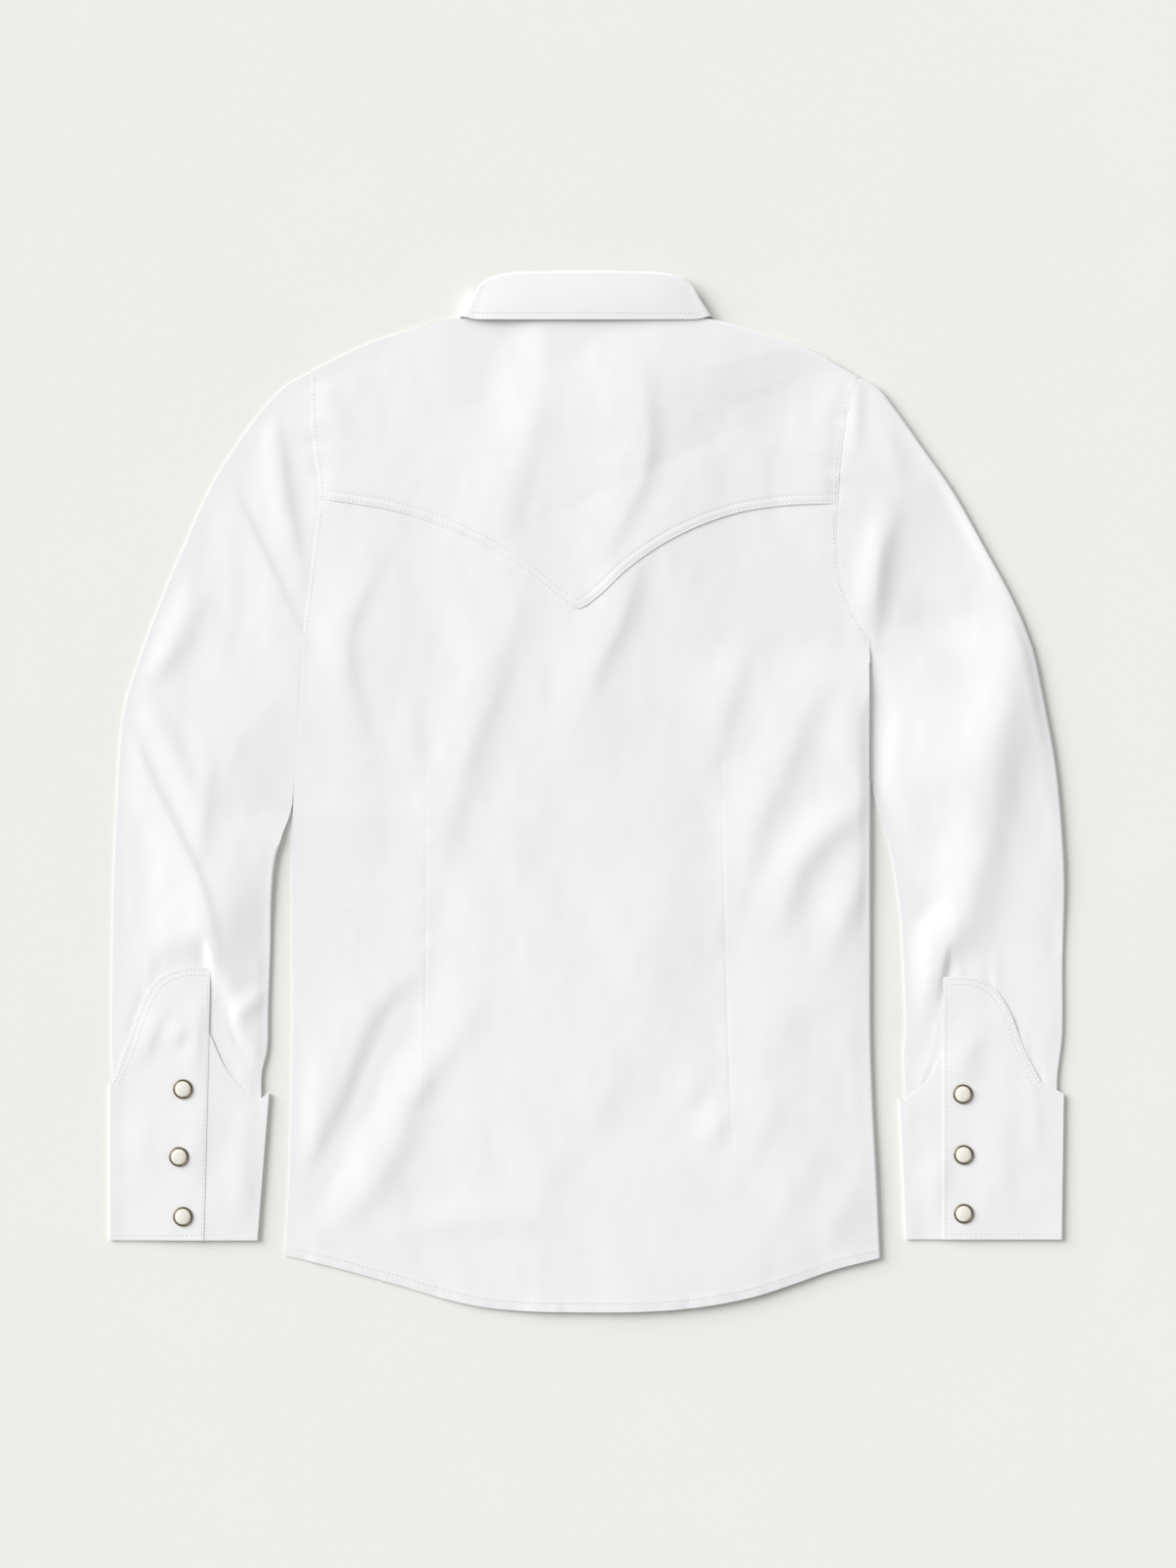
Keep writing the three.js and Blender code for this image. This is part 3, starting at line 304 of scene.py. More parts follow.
def pucker(run, x, y, depth, period, reach, seed):
    """Small gathers that a row of stitches pulls up across itself: noise along the seam, period mm
    apart, which dies out over reach mm to each side."""
    off, along, _ = nearest(run, x, y)
    return depth * noise(along * length_of(run) / period, off / (3 * reach), seed) * np.exp(-off / reach)


OUTER_EDGES = {
    "lit": ["shoulder_left", "side_left", "sleeve_outer_left", "sleeve_inner_right"],
    "shaded": ["shoulder_right", "side_right", "sleeve_outer_right", "sleeve_inner_left"],
}
INSIDE = {"side_left": 1, "side_right": -1, "sleeve_inner_left": -1, "sleeve_inner_right": 1}
ACROSS_GAP, GAP_RAMP = 150, 50  # the edge beyond the gap under the arm counts as this much further off
EDGE_START, START_SHARE = 22, 0.14  # and so does one that starts there, over this share of its length


def edge_distance(x, y, facing=("lit", "shaded")):
    """Distance in from the outline of the whole shirt, or from its edges that face one way. Arm and body
    don't count each other's edges, which is eased in below the place where they part."""
    distances = []
    for name in [name for way in facing for name in OUTER_EDGES[way]]:
        off, along, side = nearest(APART.get(name, EDGE[name]), x, y)
        if name in APART:
            parting = OPEN_FROM[name.split("_")[-1]]
            across_gap = (side * INSIDE[name] < 0) & (off > 0.5)
            off = off + EDGE_START * ramp(along, START_SHARE, 0)
            off = off + ACROSS_GAP * across_gap * ramp(y, parting, parting - GAP_RAMP)
        distances.append(off)
    return np.min(distances, axis=0)


def turn_over(off, way):
    """Share of its height that the cloth has reached off mm in from a pressed edge: a tight quarter
    circle for the first part, then a slow approach to the rest."""
    sharp = TURN_SHARE[way]
    return sharp * quarter(off / TURN_ROUND[way]) + (1 - sharp) * (1 - np.exp(-off / EASE_REACH[way]))


def lap_rise(x):
    """1 over the lapped fronts, 0 to each side of them."""
    return 1 - ramp(np.abs(x), *LAP_SPAN)


def leaf_rise(x, y):
    """Room in mm for the collar leaves, which lie under the top of the fronts."""
    return LEAF_RISE * ramp(np.abs(x), *LEAF_SPAN_X) * ramp(y, *LEAF_SPAN_Y)


def between(heights, lit, shaded):
    """Blend of the values for lit and shaded edges by the distances in from each."""
    share = lit / (lit + shaded + 1e-6)
    return heights["lit"] + (heights["shaded"] - heights["lit"]) * smoothstep(share)


def shelf_level(y, lit, shaded):
    """Height of the upper layer inside its edges, which falls off along the arms towards the cuffs."""
    drop = CUFF_DROP * ramp(y, *CUFF_DROP_SPAN) * (1 - ramp(lit + shaded, *ARM_SPAN))
    return between(SHELF, lit, shaded) - between({"lit": 0, "shaded": 1}, lit, shaded) * drop


def cuff_room(x, y):
    """Room in mm for the underside of the cuff, which the end of the sleeve lies on."""
    return CUFF_ROOM * ramp(y, *CUFF_ROOM_SPAN) * (np.abs(x) > ARM_FROM)


def fold_level(x, y):
    """Height at which upper and lower layer meet, more where collar or cuff lies beneath."""
    lit, shaded = (edge_distance(x, y, [way]) for way in ("lit", "shaded"))
    lift = np.maximum(0, leaf_rise(x, y) - LEAF_LIFT)
    return between(FOLD_LEVEL, lit, shaded) + lift + cuff_room(x, y)


def bells(table, x, y):
    """Sum of a table's folds. Each is a bell across its path, with a flank of its own width on each
    side, and fades as a half sine towards its ends."""
    total = np.zeros(x.shape)
    for rise, lit, shade, path in table:
        off, along, side = nearest(curve(path), x, y, 6)
        width = lit + (shade - lit) * smoothstep((1 + side) / 2)
        total += rise * np.exp(-((off / width) ** 2)) * np.sin(np.pi * (0.1 + 0.8 * along))
    return total


def creases(x, y):
    """The folds, and low rumples between them."""
    rumple = 0.5 * noise(x / 52, y / 88, 1) + 0.28 * noise((x + 0.5 * y) / 23, (y - 0.4 * x) / 47, 2)
    return bells(FOLDS, x, y) + rumple + 0.08 * noise(x / 8, y / 15, 3)


def top_height(x, y, fold_share=1.0):
    """Middle of the upper layer, over body, yoke and sleeves alike: it turns over at the outline, rises
    to a shelf and on to a low crown, carries the folds, and rests on what lies under it."""
    lit, shaded = (edge_distance(x, y, [way]) for way in ("lit", "shaded"))
    off = np.minimum(lit, shaded)
    body = np.abs(x) < BODY_HALF
    spine = np.where(body, SPINE_RISE * np.exp(-((x / SPINE_REACH) ** 2)), 0)
    hem_off = nearest(EDGE["hem"], x, y)[0]
    hem = HEM_DROP * np.exp(-hem_off / HEM_REACH) * (1 - lap_rise(x))
    crown = CROWN * (1 - np.exp(-off / CROWN_REACH))
    fold = fold_level(x, y)
    share = turn_over(lit, "lit") * turn_over(shaded, "shaded")
    for side, runs in TOUCHING.items():
        touch = np.min([nearest(run, x, y)[0] for run in runs], axis=0) / TOUCH_ROUND[side]
        share = share * (1 - TOUCH_SINK[side] * np.exp(-(touch**2)))
    base = fold + (shelf_level(y, lit, shaded) + crown + spine - hem - fold) * share
    low = REST + UPPER_CLEAR + cuff_room(x, y)
    need = np.where(body, low + (LAP_INNER - REST) * lap_rise(x) + leaf_rise(x, y), low)
    fade = smoothstep(lit / FOLD_FADE["lit"]) * smoothstep(shaded / FOLD_FADE["shaded"])
    z = base + fold_share * creases(x, y) * fade
    return need + np.logaddexp(0, (z - need) / SOFTNESS) * SOFTNESS  # a soft maximum of the two


def stations(width, spacing, start, end, dense=()):
    """Shares of a width from 0 to 1: at the mm given from each end, evenly between, and every 0.9 mm in
    each dense stretch, given as its middle and half width in shares."""
    start, end = np.array(start) / width, 1 - np.array(end)[::-1] / width
    inner = np.linspace(start[-1], end[0], int((end[0] - start[-1]) * width / spacing) + 2)[1:-1]
    for middle, half in dense:
        inner = inner[np.abs(inner - middle) > half]
        inner = np.concatenate([inner, np.arange(middle - half, middle + half, 0.9 / width)])
    return np.concatenate([start, np.sort(inner), end])


def coons(bottom, top, left, right, a, v):
    """Coons patch: the surface that four boundary curves span. Points are blended across, and up, and
    the blend of the four corners is taken off once."""
    a_, v_ = a[None, :, None], v[:, None, None]
    low, high, near, far = bottom(a)[None], top(a)[None], left(v)[:, None], right(v)[:, None]
    corners = ((1 - a_) * (1 - v_) * low[:, :1] + a_ * (1 - v_) * low[:, -1:]
               + (1 - a_) * v_ * high[:, :1] + a_ * v_ * high[:, -1:])
    return (1 - a_) * near + a_ * far + (1 - v_) * low + v_ * high - corners


def joined(first, second, joint):
    """Two curves run one after the other, the first up to the share joint."""
    return lambda t: np.where((t < joint)[:, None], first(t / joint), second((t - joint) / (1 - joint)))


# The middle of the front's top snap, which is on the centre line, ties the tables to the frame.
TOP_SNAP = np.array([0, 232])
top_ring = np.array(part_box("front_snap_1_ring"))
CENTRE = np.append(top_ring.mean(axis=0)[:2] / MM - TOP_SNAP, 0)


def smooth_piece(name, points, quads):
    """Object whose mesh is these points, in mm on the shirt's centre line, joined by these quads."""
    mesh = bpy.data.meshes.new(name)
    mesh.from_pydata(((points + CENTRE).reshape(-1, 3) * MM).tolist(), [], quads.reshape(-1, 4).tolist())
    mesh.polygons.foreach_set("use_smooth", np.ones(len(mesh.polygons), bool))
    piece = bpy.data.objects.new(name, mesh)
    bpy.context.collection.objects.link(piece)
    return piece


def cloth_piece(name, points, across, up, thickness, ring=False):
    """Object whose mesh is a grid of points in mm, rows by columns, joined by quads and thickened by
    half to each side. across and up are the cloth's own lengths in mm, kept as its UV map in metres."""
    rows, columns = points.shape[:2]
    index = np.arange(rows * columns).reshape(rows, columns)
    if ring:
        index = np.hstack([index, index[:, :1]])
    quads = np.stack([index[:-1, :-1], index[:-1, 1:], index[1:, 1:], index[1:, :-1]], axis=-1)
    piece = smooth_piece(name, points, quads)
    u, v = np.meshgrid(np.broadcast_to(across, index.shape[1]), up)
    uv = np.stack([u, v], axis=-1) * MM
    corners = np.stack([uv[:-1, :-1], uv[:-1, 1:], uv[1:, 1:], uv[1:, :-1]], axis=2)
    piece.data.uv_layers.new(name="cloth").data.foreach_set("uv", corners.ravel())
    wall = piece.modifiers.new("wall", "SOLIDIFY")
    wall.thickness, wall.offset = thickness * MM, 0
    piece.modifiers.new("crisp_rim", "EDGE_SPLIT").split_angle = np.radians(50)
    return piece


def linear(hex_colour):
    """Linear colour of an sRGB hex value."""
    s = np.array([int(hex_colour[i:i + 2], 16) / 255 for i in (1, 3, 5)])
    return (*np.where(s <= 0.04045, s / 12.92, ((s + 0.055) / 1.055) ** 2.4), 1)


def add_node(tree, kind, settings=None, **inputs):
    """Adds a node with its settings. An input is named, or numbered as i0, i1 and so on, and is a value or
    the output socket that feeds it."""
    node = tree.nodes.new(kind)
    for key, value in (settings or {}).items():
        setattr(node, key, value)
    for key, value in inputs.items():
        numbered = key[0] == "i" and key[1:].isdigit()
        socket = node.inputs[int(key[1:]) if numbered else key.replace("_", " ")]
        if isinstance(value, bpy.types.NodeSocket):
            tree.links.new(value, socket)
        else:
            socket.default_value = value
    return node


def new_material(name, **inputs):
    """Material with a Principled shader whose plain inputs are set; returns it, its tree and shader."""
    material = bpy.data.materials.new(name)
    material.use_nodes = True
    shader = material.node_tree.nodes["Principled BSDF"]
    for key, value in inputs.items():
        shader.inputs[key.replace("_", " ")].default_value = value
    return material, material.node_tree, shader


THREAD_SPACING = 1.3  # mm; real threads lie 0.3 mm apart, too fine to show, so they are drawn coarser
SLUB_WIDTH, SLUB_LENGTH = 1.1, 24  # mm; a thicker stretch of thread, drawn coarser for the same reason
WAVE_RADIANS = 20  # a wave texture runs through this angle in one unit


def shirting(name, slub_across, shade_low="#EDEDEE", shade_high="#EFEFF1"):
    """Bleached cotton poplin, plain woven and pressed: a matt, faintly cool white in which thicker
    threads show as short, low streaks, across the panel or along it."""
    material, tree, shader = new_material(
        name, Roughness=0.82, IOR=1.45, Sheen_Weight=0.12, Sheen_Roughness=0.5)
    shader.inputs["Specular IOR Level"].default_value = 0.25
    cloth = add_node(tree, "ShaderNodeUVMap", {"uv_map": "cloth"}).outputs["UV"]
    per_width, per_length = 1 / (SLUB_WIDTH * MM), 1 / (SLUB_LENGTH * MM)
    slub_scale = (per_length, per_width, 1) if slub_across else (per_width, per_length, 1)
    slub_place = add_node(tree, "ShaderNodeMapping", Vector=cloth, Scale=slub_scale).outputs["Vector"]
    slub = add_node(tree, "ShaderNodeTexNoise", Vector=slub_place, Scale=1.0, Detail=2.0).outputs["Fac"]
    repeat = 2 * THREAD_SPACING * MM  # plain weave comes back to itself after two threads
    warp, weft = (add_node(tree, "ShaderNodeTexWave", {"bands_direction": way}, Vector=cloth,
                           Scale=2 * np.pi / WAVE_RADIANS / repeat, Distortion=1.5,
                           Detail_Scale=3.0).outputs["Fac"] for way in ("X", "Y"))
    weave = add_node(tree, "ShaderNodeMath", {"operation": "MULTIPLY"}, i0=warp, i1=weft).outputs[0]
    height = add_node(tree, "ShaderNodeMath", {"operation": "MULTIPLY_ADD"}, i0=weave, i1=0.35, i2=slub)
    bump = add_node(tree, "ShaderNodeBump", Strength=0.12, Distance=0.0001, Height=height.outputs[0])
    tree.links.new(bump.outputs["Normal"], shader.inputs["Normal"])
    shade = add_node(tree, "ShaderNodeMapRange", Value=slub, From_Min=0.3, From_Max=0.7).outputs[0]
    tint = add_node(tree, "ShaderNodeMix", {"data_type": "RGBA"}, i0=shade, i6=linear(shade_low),
                    i7=linear(shade_high)).outputs[2]
    tree.links.new(tint, shader.inputs["Base Color"])
    return material


BODY_CLOTH = shirting("white_cotton_poplin_body", True)
ARMHOLE_SHARE = 0.25  # of the back's side edge
YOKE_END = {"left": 200.3, "right": 197}  # where the yoke's edge meets each armhole
YOKE_LAP = 10  # the back panel runs up under the yoke by this
HEM_WIDTH = 7.5
TURNED = [0, 0.2, 0.5, 1, 1.7, 2.7, 4, 5.6, 7.5, 9.8]  # close rows where the cloth turns over
SELVEDGE = [0, 0.8, 1.6, 2.4, 3.2, 4.2, 5.4, 6.8, 8.4]


def back_height(x, y):
    """Upper layer, with a sunk line and small gathers at each dart, a band at the hem, and gathers at
    the armholes and under the yoke's edge."""
    z = top_height(x, y)
    for i, dart in enumerate(DARTS):
        run = curve(dart)
        off, along, _ = nearest(run, x, y)
        deep = np.sin(np.pi * np.clip(along, 0.02, 0.98)) ** 0.4
        z = z - 0.1 * deep * np.exp(-((off / 0.9) ** 2)) + pucker(run, x, y, 0.16, 9, 7, 20 + i)
    band = 1 - ramp(nearest(EDGE["hem"], x, y)[0], HEM_WIDTH, HEM_WIDTH + 1.4)
    z = z + 0.15 * band + pucker(EDGE["hem"], x, y, 0.3, 7, 9, 24)
    z = z + armhole_relief(x, y) + yoke_relief(x, y)
    return np.maximum(z, fold_level(x, y) + SEAM_STEP - 0.05)


def yoke_relief(x, y):
    """Gathers that the yoke's two rows of stitches pull up in yoke and back alike."""
    return pucker(EDGE["yoke_edge"], x, y, 0.17, 9, 12, 33)


def armhole_relief(x, y):
    """Along both armholes the pieces dip a little to the seam, and its stitches gather them."""
    relief = np.zeros(x.shape)
    for i, name in enumerate(("armhole_left", "armhole_right")):
        off, along, _ = nearest(EDGE[name], x, y)
        upper = 0.3 + 0.7 * (1 - ramp(along, 0.35, 0.75))  # the seam gathers most over the shoulder
        relief += pucker(EDGE[name], x, y, 0.38, 7, 8, 26 + i) * upper - 0.06 * np.exp(-((off / 1.0) ** 2))
    return relief


def side_of(side):
    """The back's edge on one side: up the side seam, then up the armhole to a little under the yoke."""
    seam, armhole = EDGE["side_" + side], EDGE["armhole_" + side]
    top = share_at(armhole, YOKE_END[side] + YOKE_LAP)
    return joined(lambda t: at(seam, t, 1, 0), lambda t: at(armhole, t, 1, top), 1 - ARMHOLE_SHARE)


BACK_WIDTH, BACK_LENGTH = 400, 560
across = stations(BACK_WIDTH, 2.6, TURNED, TURNED, [(0.229, 0.014), (0.749, 0.02)])
up = stations(BACK_LENGTH, 2.9, SELVEDGE, [0, 3, 6, 9, 12])
plan = coons(lambda t: at(EDGE["hem"], t), lambda t: at(EDGE["yoke_edge"], t) + [0, YOKE_LAP],
             side_of("left"), side_of("right"), across, up)
points = np.dstack([plan, back_height(plan[..., 0], plan[..., 1])])
back = cloth_piece("back_panel", points, across * BACK_WIDTH, up * BACK_LENGTH, CLOTH)
back.data.materials.append(BODY_CLOTH)
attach(back, "root")
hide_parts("back")

SEWING_THREAD, tree, shader = new_material("polyester_core_thread", Roughness=0.6, Sheen_Weight=0.1)
# Spun thread, painted a touch greyer than the cloth: painted shade of the thread lying sunk in it, with its
# twist shown as noise between the two tones.
STRAND = 0.4  # mm; the twist of the thread
place = add_node(tree, "ShaderNodeTexCoord").outputs["Object"]
strand = add_node(tree, "ShaderNodeTexNoise", Scale=1 / (STRAND * MM), Vector=place).outputs["Fac"]
tint = add_node(tree, "ShaderNodeMix", {"data_type": "RGBA"}, i0=strand, i6=linear("#D9DADB"),
                i7=linear("#EDEEEF")).outputs[2]
tree.links.new(tint, shader.inputs["Base Color"])
STITCH, STITCH_GAP = 2.1, 0.9  # mm of thread that shows, and of cloth between two stitches
STITCH_HALF, STITCH_PROUD = 0.27, 0.16  # half width of the thread, and how far it stands out
SEAM_ROW = 2.6  # the stitches beside an armhole lie this far in from it


def inset(run, distance, start=0.0, end=1.0):
    """A stitch's middle every stitch length along a curve, moved sideways to its left."""
    count = max(2, int(length_of(run) * abs(end - start) / (STITCH + STITCH_GAP)))
    line = at(run, np.linspace(0, 1, count), start, end)
    ahead = np.gradient(line, axis=0)
    ahead /= np.linalg.norm(ahead, axis=1)[:, None]
    return line[:, :2] + distance * np.stack([-ahead[:, 1], ahead[:, 0]], axis=1)


def stitches(name, lines):
    """One mesh of lockstitches along lines of points in mm. Each stitch is a low bead, pointed at both
    ends: four rings of four corners, along the line, to its sides and up."""
    along = np.array([-0.5, -0.32, 0.32, 0.5]) * STITCH
    half, proud = np.array([0.3, 1, 1, 0.3]) * STITCH_HALF, np.array([0.2, 1, 1, 0.2]) * STITCH_PROUD
    corner = np.array([(1, 0), (0, 1), (-1, 0), (0, -1)])
    bead = np.stack([np.repeat(along, 4), np.outer(half, corner[:, 0]).ravel(),
                     np.outer(proud, corner[:, 1]).ravel()], axis=1)
    ring = np.arange(4)
    walls = np.concatenate([np.stack([ring + 4 * k, (ring + 1) % 4 + 4 * k, (ring + 1) % 4 + 4 * k + 4,
                                      ring + 4 * k + 4], axis=1) for k in range(3)])
    faces = np.vstack([walls[:, ::-1], [[0, 1, 2, 3], [15, 14, 13, 12]]])
    points, quads = [], []
    for line in lines:
        ahead = np.gradient(line, axis=0)
        ahead /= np.linalg.norm(ahead, axis=1)[:, None]
        side = np.cross([0, 0, 1], ahead)
        side /= np.linalg.norm(side, axis=1)[:, None]
        frames = np.stack([ahead, side, np.cross(ahead, side)], axis=1)
        placed = line[:, None] + np.einsum("ck,nkj->ncj", bead, frames)
        first = sum(len(p) for p in points) + 16 * np.arange(len(line))
        quads.append((faces[None] + first[:, None, None]).reshape(-1, 4))
        points.append(placed.reshape(-1, 3))
    piece = smooth_piece(name, np.vstack(points), np.vstack(quads))
    piece.data.materials.append(SEWING_THREAD)
    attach(piece, "root")
    return piece


def laid(line, height, thickness):
    """A line of stitches laid on a piece: x, y and the height of the piece's upper face there."""
    z = height(line[:, 0], line[:, 1]) + thickness / 2
    return np.column_stack([line, z])


back_lines = [inset(EDGE["hem"], HEM_WIDTH - 1.5, 0.01, 0.99)]
back_lines += [inset(EDGE["armhole_left"], SEAM_ROW, share_at(EDGE["armhole_left"], 192), 0.99)]
back_lines += [inset(EDGE["armhole_right"], -SEAM_ROW, share_at(EDGE["armhole_right"], 189), 0.98)]
back_seams = stitches("back_stitching", [laid(line, back_height, CLOTH) for line in back_lines])

# Yoke
# The western yoke is a second layer of shirting over the shoulders, drawn to a point between the
# shoulder blades. Its lower edge is turned under and held down on the back by two rows of stitches.
YOKE_CLOTH = 0.6  # thicker, with the turned edge inside it
YOKE_STAND, YOKE_SETTLE = 8, 90  # it stands on the back panel to here, and has settled level there
YOKE_SEAMED = 14  # its edge flattens out this near an armhole
YOKE_ROWS = (1.5, 6.0)  # stitches in from the edge
NECK = [(-80, 324), (-72, 324.9), (-56, 326.2), (-30, 327.1), (0, 327.4), (30, 327.1), (56, 326.2),
        (72, 324.9), (80, 324)]


def yoke_height(x, y):
    """Upper layer, raised over the back panel along the edge, with a low ridge between its two rows of
    stitches and gathers across them. The right half stands a little prouder."""
    off, along, _ = nearest(EDGE["yoke_edge"], x, y)
    stand = 0.5 + 0.25 * smoothstep(x / 90) + 0.08 * noise(along * 14, 0, 31)
    stand = stand * (1 - ramp(off, YOKE_STAND, YOKE_SETTLE))
    seam_off = np.min([nearest(EDGE["armhole_" + side], x, y)[0] for side in YOKE_END], axis=0)
    seamed = 1 - smoothstep(seam_off / YOKE_SEAMED)
    stand = stand * (1 - 0.8 * seamed) - 0.1 * seamed
    sunk = sum(np.exp(-(((off - row) / 0.7) ** 2)) for row in YOKE_ROWS)
    z = np.maximum(top_height(x, y), fold_level(x, y) + SEAM_STEP + 0.1) + stand - 0.16 * sunk
    return z - 0.12 * np.exp(-off / 0.5) + yoke_relief(x, y) + armhole_relief(x, y)


def yoke_top(t):
    """Along the left shoulder, the neckline and the right shoulder."""
    neck_from, neck_to = 2 / 7, 5 / 7
    left = at(EDGE["shoulder_left"], t / neck_from, 1, 0)
    neck = at(curve(NECK), (t - neck_from) / (neck_to - neck_from))
    right = at(EDGE["shoulder_right"], (t - neck_to) / (1 - neck_to))
    t = t[:, None]
    return np.where(t < neck_from, left, np.where(t <= neck_to, neck, right))


def yoke_side(side):
    """Up the armhole from the end of the yoke's edge to the shoulder."""
    armhole = EDGE["armhole_" + side]
    start = share_at(armhole, YOKE_END[side])
    return lambda t: at(armhole, t, start, 0)


YOKE_WIDTH, YOKE_LENGTH = 375, 110
across = stations(YOKE_WIDTH, 2.0, SELVEDGE, SELVEDGE)
up = stations(YOKE_LENGTH, 1.5, [0, 0.3, 0.7, 1.1, 1.5, 1.9, 2.5, 3.2, 4, 4.6, 5.2, 5.6, 6, 6.4, 7],
              [0, 0.2, 0.5, 1, 1.7, 2.7, 4, 5.4])
plan = coons(lambda t: at(EDGE["yoke_edge"], t), yoke_top, yoke_side("left"), yoke_side("right"), across, up)
points = np.dstack([plan, yoke_height(plan[..., 0], plan[..., 1])])
yoke = cloth_piece("western_yoke", points, across * YOKE_WIDTH, up * YOKE_LENGTH, YOKE_CLOTH)
yoke.data.materials.append(BODY_CLOTH)
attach(yoke, "root")
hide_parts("yoke")
yoke_lines = [inset(EDGE["yoke_edge"], row, 0.005, 0.995) for row in YOKE_ROWS]
yoke_lines += [inset(EDGE["armhole_left"], SEAM_ROW, 0.03, share_at(EDGE["armhole_left"], 202))]
yoke_lines += [inset(EDGE["armhole_right"], -SEAM_ROW, 0.03, share_at(EDGE["armhole_right"], 199))]
yoke_seams = stitches("yoke_stitching", [laid(line, yoke_height, YOKE_CLOTH) for line in yoke_lines])

# Fronts
# Two fronts of the same shirting lie face down on the table and lap down the middle, where the snaps
# hold them. They turn up into the back at the side seams and meet the yoke at the shoulders.
LAP_HALF = 15
FRONT_HEM_RISE = 8  # the front tail is this much shorter than the back's
# The neckline of one front starts at this height on its lapped edge.
NECK_START = 256.4
NECK_FRONT = [(0, 255.9), (18, 257.2), (36.6, 264.1), (58, 278.9), (72.2, 297.2), (79.2, 314.7),
              (80, 324)]
FRONT_WIDTH, FRONT_LENGTH = 205, 600
FRONT_NECK_SHARE = 0.26  # of the front's inner edge, which is lapped edge below and neckline above
FRONT_ARMHOLE_SHARE = 0.38  # of its outer edge, which is side seam below and armhole above
FRONT_FLAT = (4, 16)  # its creases grow between these distances in from the outline
FRONT_FOLDS = [
    (0.6, 13, 11, [(-62, 190), (-82, 60), (-96, -80)]), (0.5, 11, 9, [(-150, 120), (-128, 20)]),
    (0.6, 15, 12, [(-70, -120), (-120, -250)]), (0.5, 12, 10, [(-168, -60), (-140, -180)])]


def front_height(x, y, inner):
    """Flat on the table, raised over the snaps in the lap and over the collar leaves, turned up to the
    fold at the outline, with a few low creases that rise into the shirt."""
    raised = np.maximum(((LAP_INNER if inner else LAP_OUTER) - REST) * lap_rise(x), leaf_rise(x, y))
    low = bells(FRONT_FOLDS, -np.abs(x), y) + 0.12 + 0.12 * noise(x / 31, y / 53, 41)
    free = ramp(edge_distance(x, y), *FRONT_FLAT) * (1 - lap_rise(x)) * (raised < 0.4)
    flat = REST + raised + low * free
    seam = fold_level(x, y) - SEAM_STEP
    lit, shaded = (edge_distance(x, y, [way]) for way in ("lit", "shaded"))
    return seam + (flat - seam) * quarter(np.minimum(lit, shaded) / between(UNDER_ROUND, lit, shaded))


HEM_LINE = at(EDGE["hem"], np.linspace(0, 1, 200))


def front_hem(corner, lap_x):
    """From the lapped edge out to the corner at the side seam, a little above the back's hem."""
    def line(t):
        x = lap_x + (corner[0] - lap_x) * t
        y = np.interp(x, HEM_LINE[:, 0], HEM_LINE[:, 1]) + FRONT_HEM_RISE
        return np.column_stack([x, y + (corner[1] - y) * ramp(t, 0.8, 1)])
    return line


for side, sign, inner in (("right", 1, False), ("left", -1, True)):
    seam, armhole, shoulder = (EDGE[part + "_" + side] for part in ("side", "armhole", "shoulder"))
    lap_x = -sign * LAP_HALF
    hem = front_hem(at(seam, 1.0), lap_x)
    hem_start, neck_start = hem(np.array([0.0])), np.array([lap_x, NECK_START])
    neck = curve([tuple(neck_start)] + [(sign * x, y) for x, y in NECK_FRONT])
    inside = joined(lambda t: hem_start + np.clip(t, 0, 1)[:, None] * (neck_start - hem_start),
                    lambda t: at(neck, t), 1 - FRONT_NECK_SHARE)
    outside = joined(lambda t: at(seam, t, 1, 0), lambda t: at(armhole, t, 1, 0), 1 - FRONT_ARMHOLE_SHARE)
    across = stations(FRONT_WIDTH, 3.4, [0, 4, 8, 12, 16], [0, 0.15, 0.4, 0.9, 1.8, 3.4, 6])
    up = stations(FRONT_LENGTH, 4.2, [0, 2, 4], [0, 0.2, 0.5, 1, 1.8, 3.4, 6])
    plan = coons(hem, lambda t: at(shoulder, t), inside, outside, across, up)
    points = np.dstack([plan, front_height(plan[..., 0], plan[..., 1], inner)])
    if sign < 0:
        points, across = points[:, ::-1], across[::-1]
    front = cloth_piece("front_panel_" + side, points, across * FRONT_WIDTH, up * FRONT_LENGTH, CLOTH)
    front.data.materials.append(BODY_CLOTH)
    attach(front, "root")
    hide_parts("front_" + side)

# Sleeves
# Each sleeve is one piece of shirting, closed under the arm and pressed flat, so that its upper layer
# shows. It is set into the armhole at its head and gathered into the cuff at its end.
SLEEVE_CLOTH = shirting("white_cotton_poplin_sleeve", False)
HEAD_UNDER, HEAD_LOWER = 0.4, 0.03  # the sleeve's head runs under the body's edge, and lies lower
SLEEVE_LENGTH, SLEEVE_WIDTH = 500, 115
UNDERCUT = 0.25  # the upper layer stands out this far over the fold at the edge
CUFF_HOLD = 26  # the folds grow to their full height this far above the cuff
UPPER_TURN = [0, 0.15, 0.4, 0.9, 1.7, 2.8, 4.2, 6]  # close columns where the upper layer turns over
UNDER_TURN = [0, 0.15, 0.4, 0.9, 1.7, 3.2]  # and the lower one
# Upper edge of each cuff as it shows, from left to right, eased where the overlap ends.
CUFF_EDGE = {
    "left": [(-326, -199.5), (-319, -187), (-312, -168), (-303, -144), (-293.5, -128.6), (-282.7, -122.6),
             (-272, -119.9), (-261, -120), (-247, -158), (-240, -190), (-232, -205), (-223, -211),
             (-216, -206)],
    "right": [(214, -210), (221, -208.4), (229, -202.5), (235, -186), (248, -126.6),
              (257.3, -126), (268, -128), (279, -134), (290.1, -151.4), (299, -175), (311, -198.5),
              (327, -206.4)],
}


def above_cuff(side, x, y):
    """Height in mm of a place above the edge of the cuff, below 0 where the cuff covers it."""
    edge = np.array(CUFF_EDGE[side])
    return y - np.interp(x, edge[:, 0], edge[:, 1])


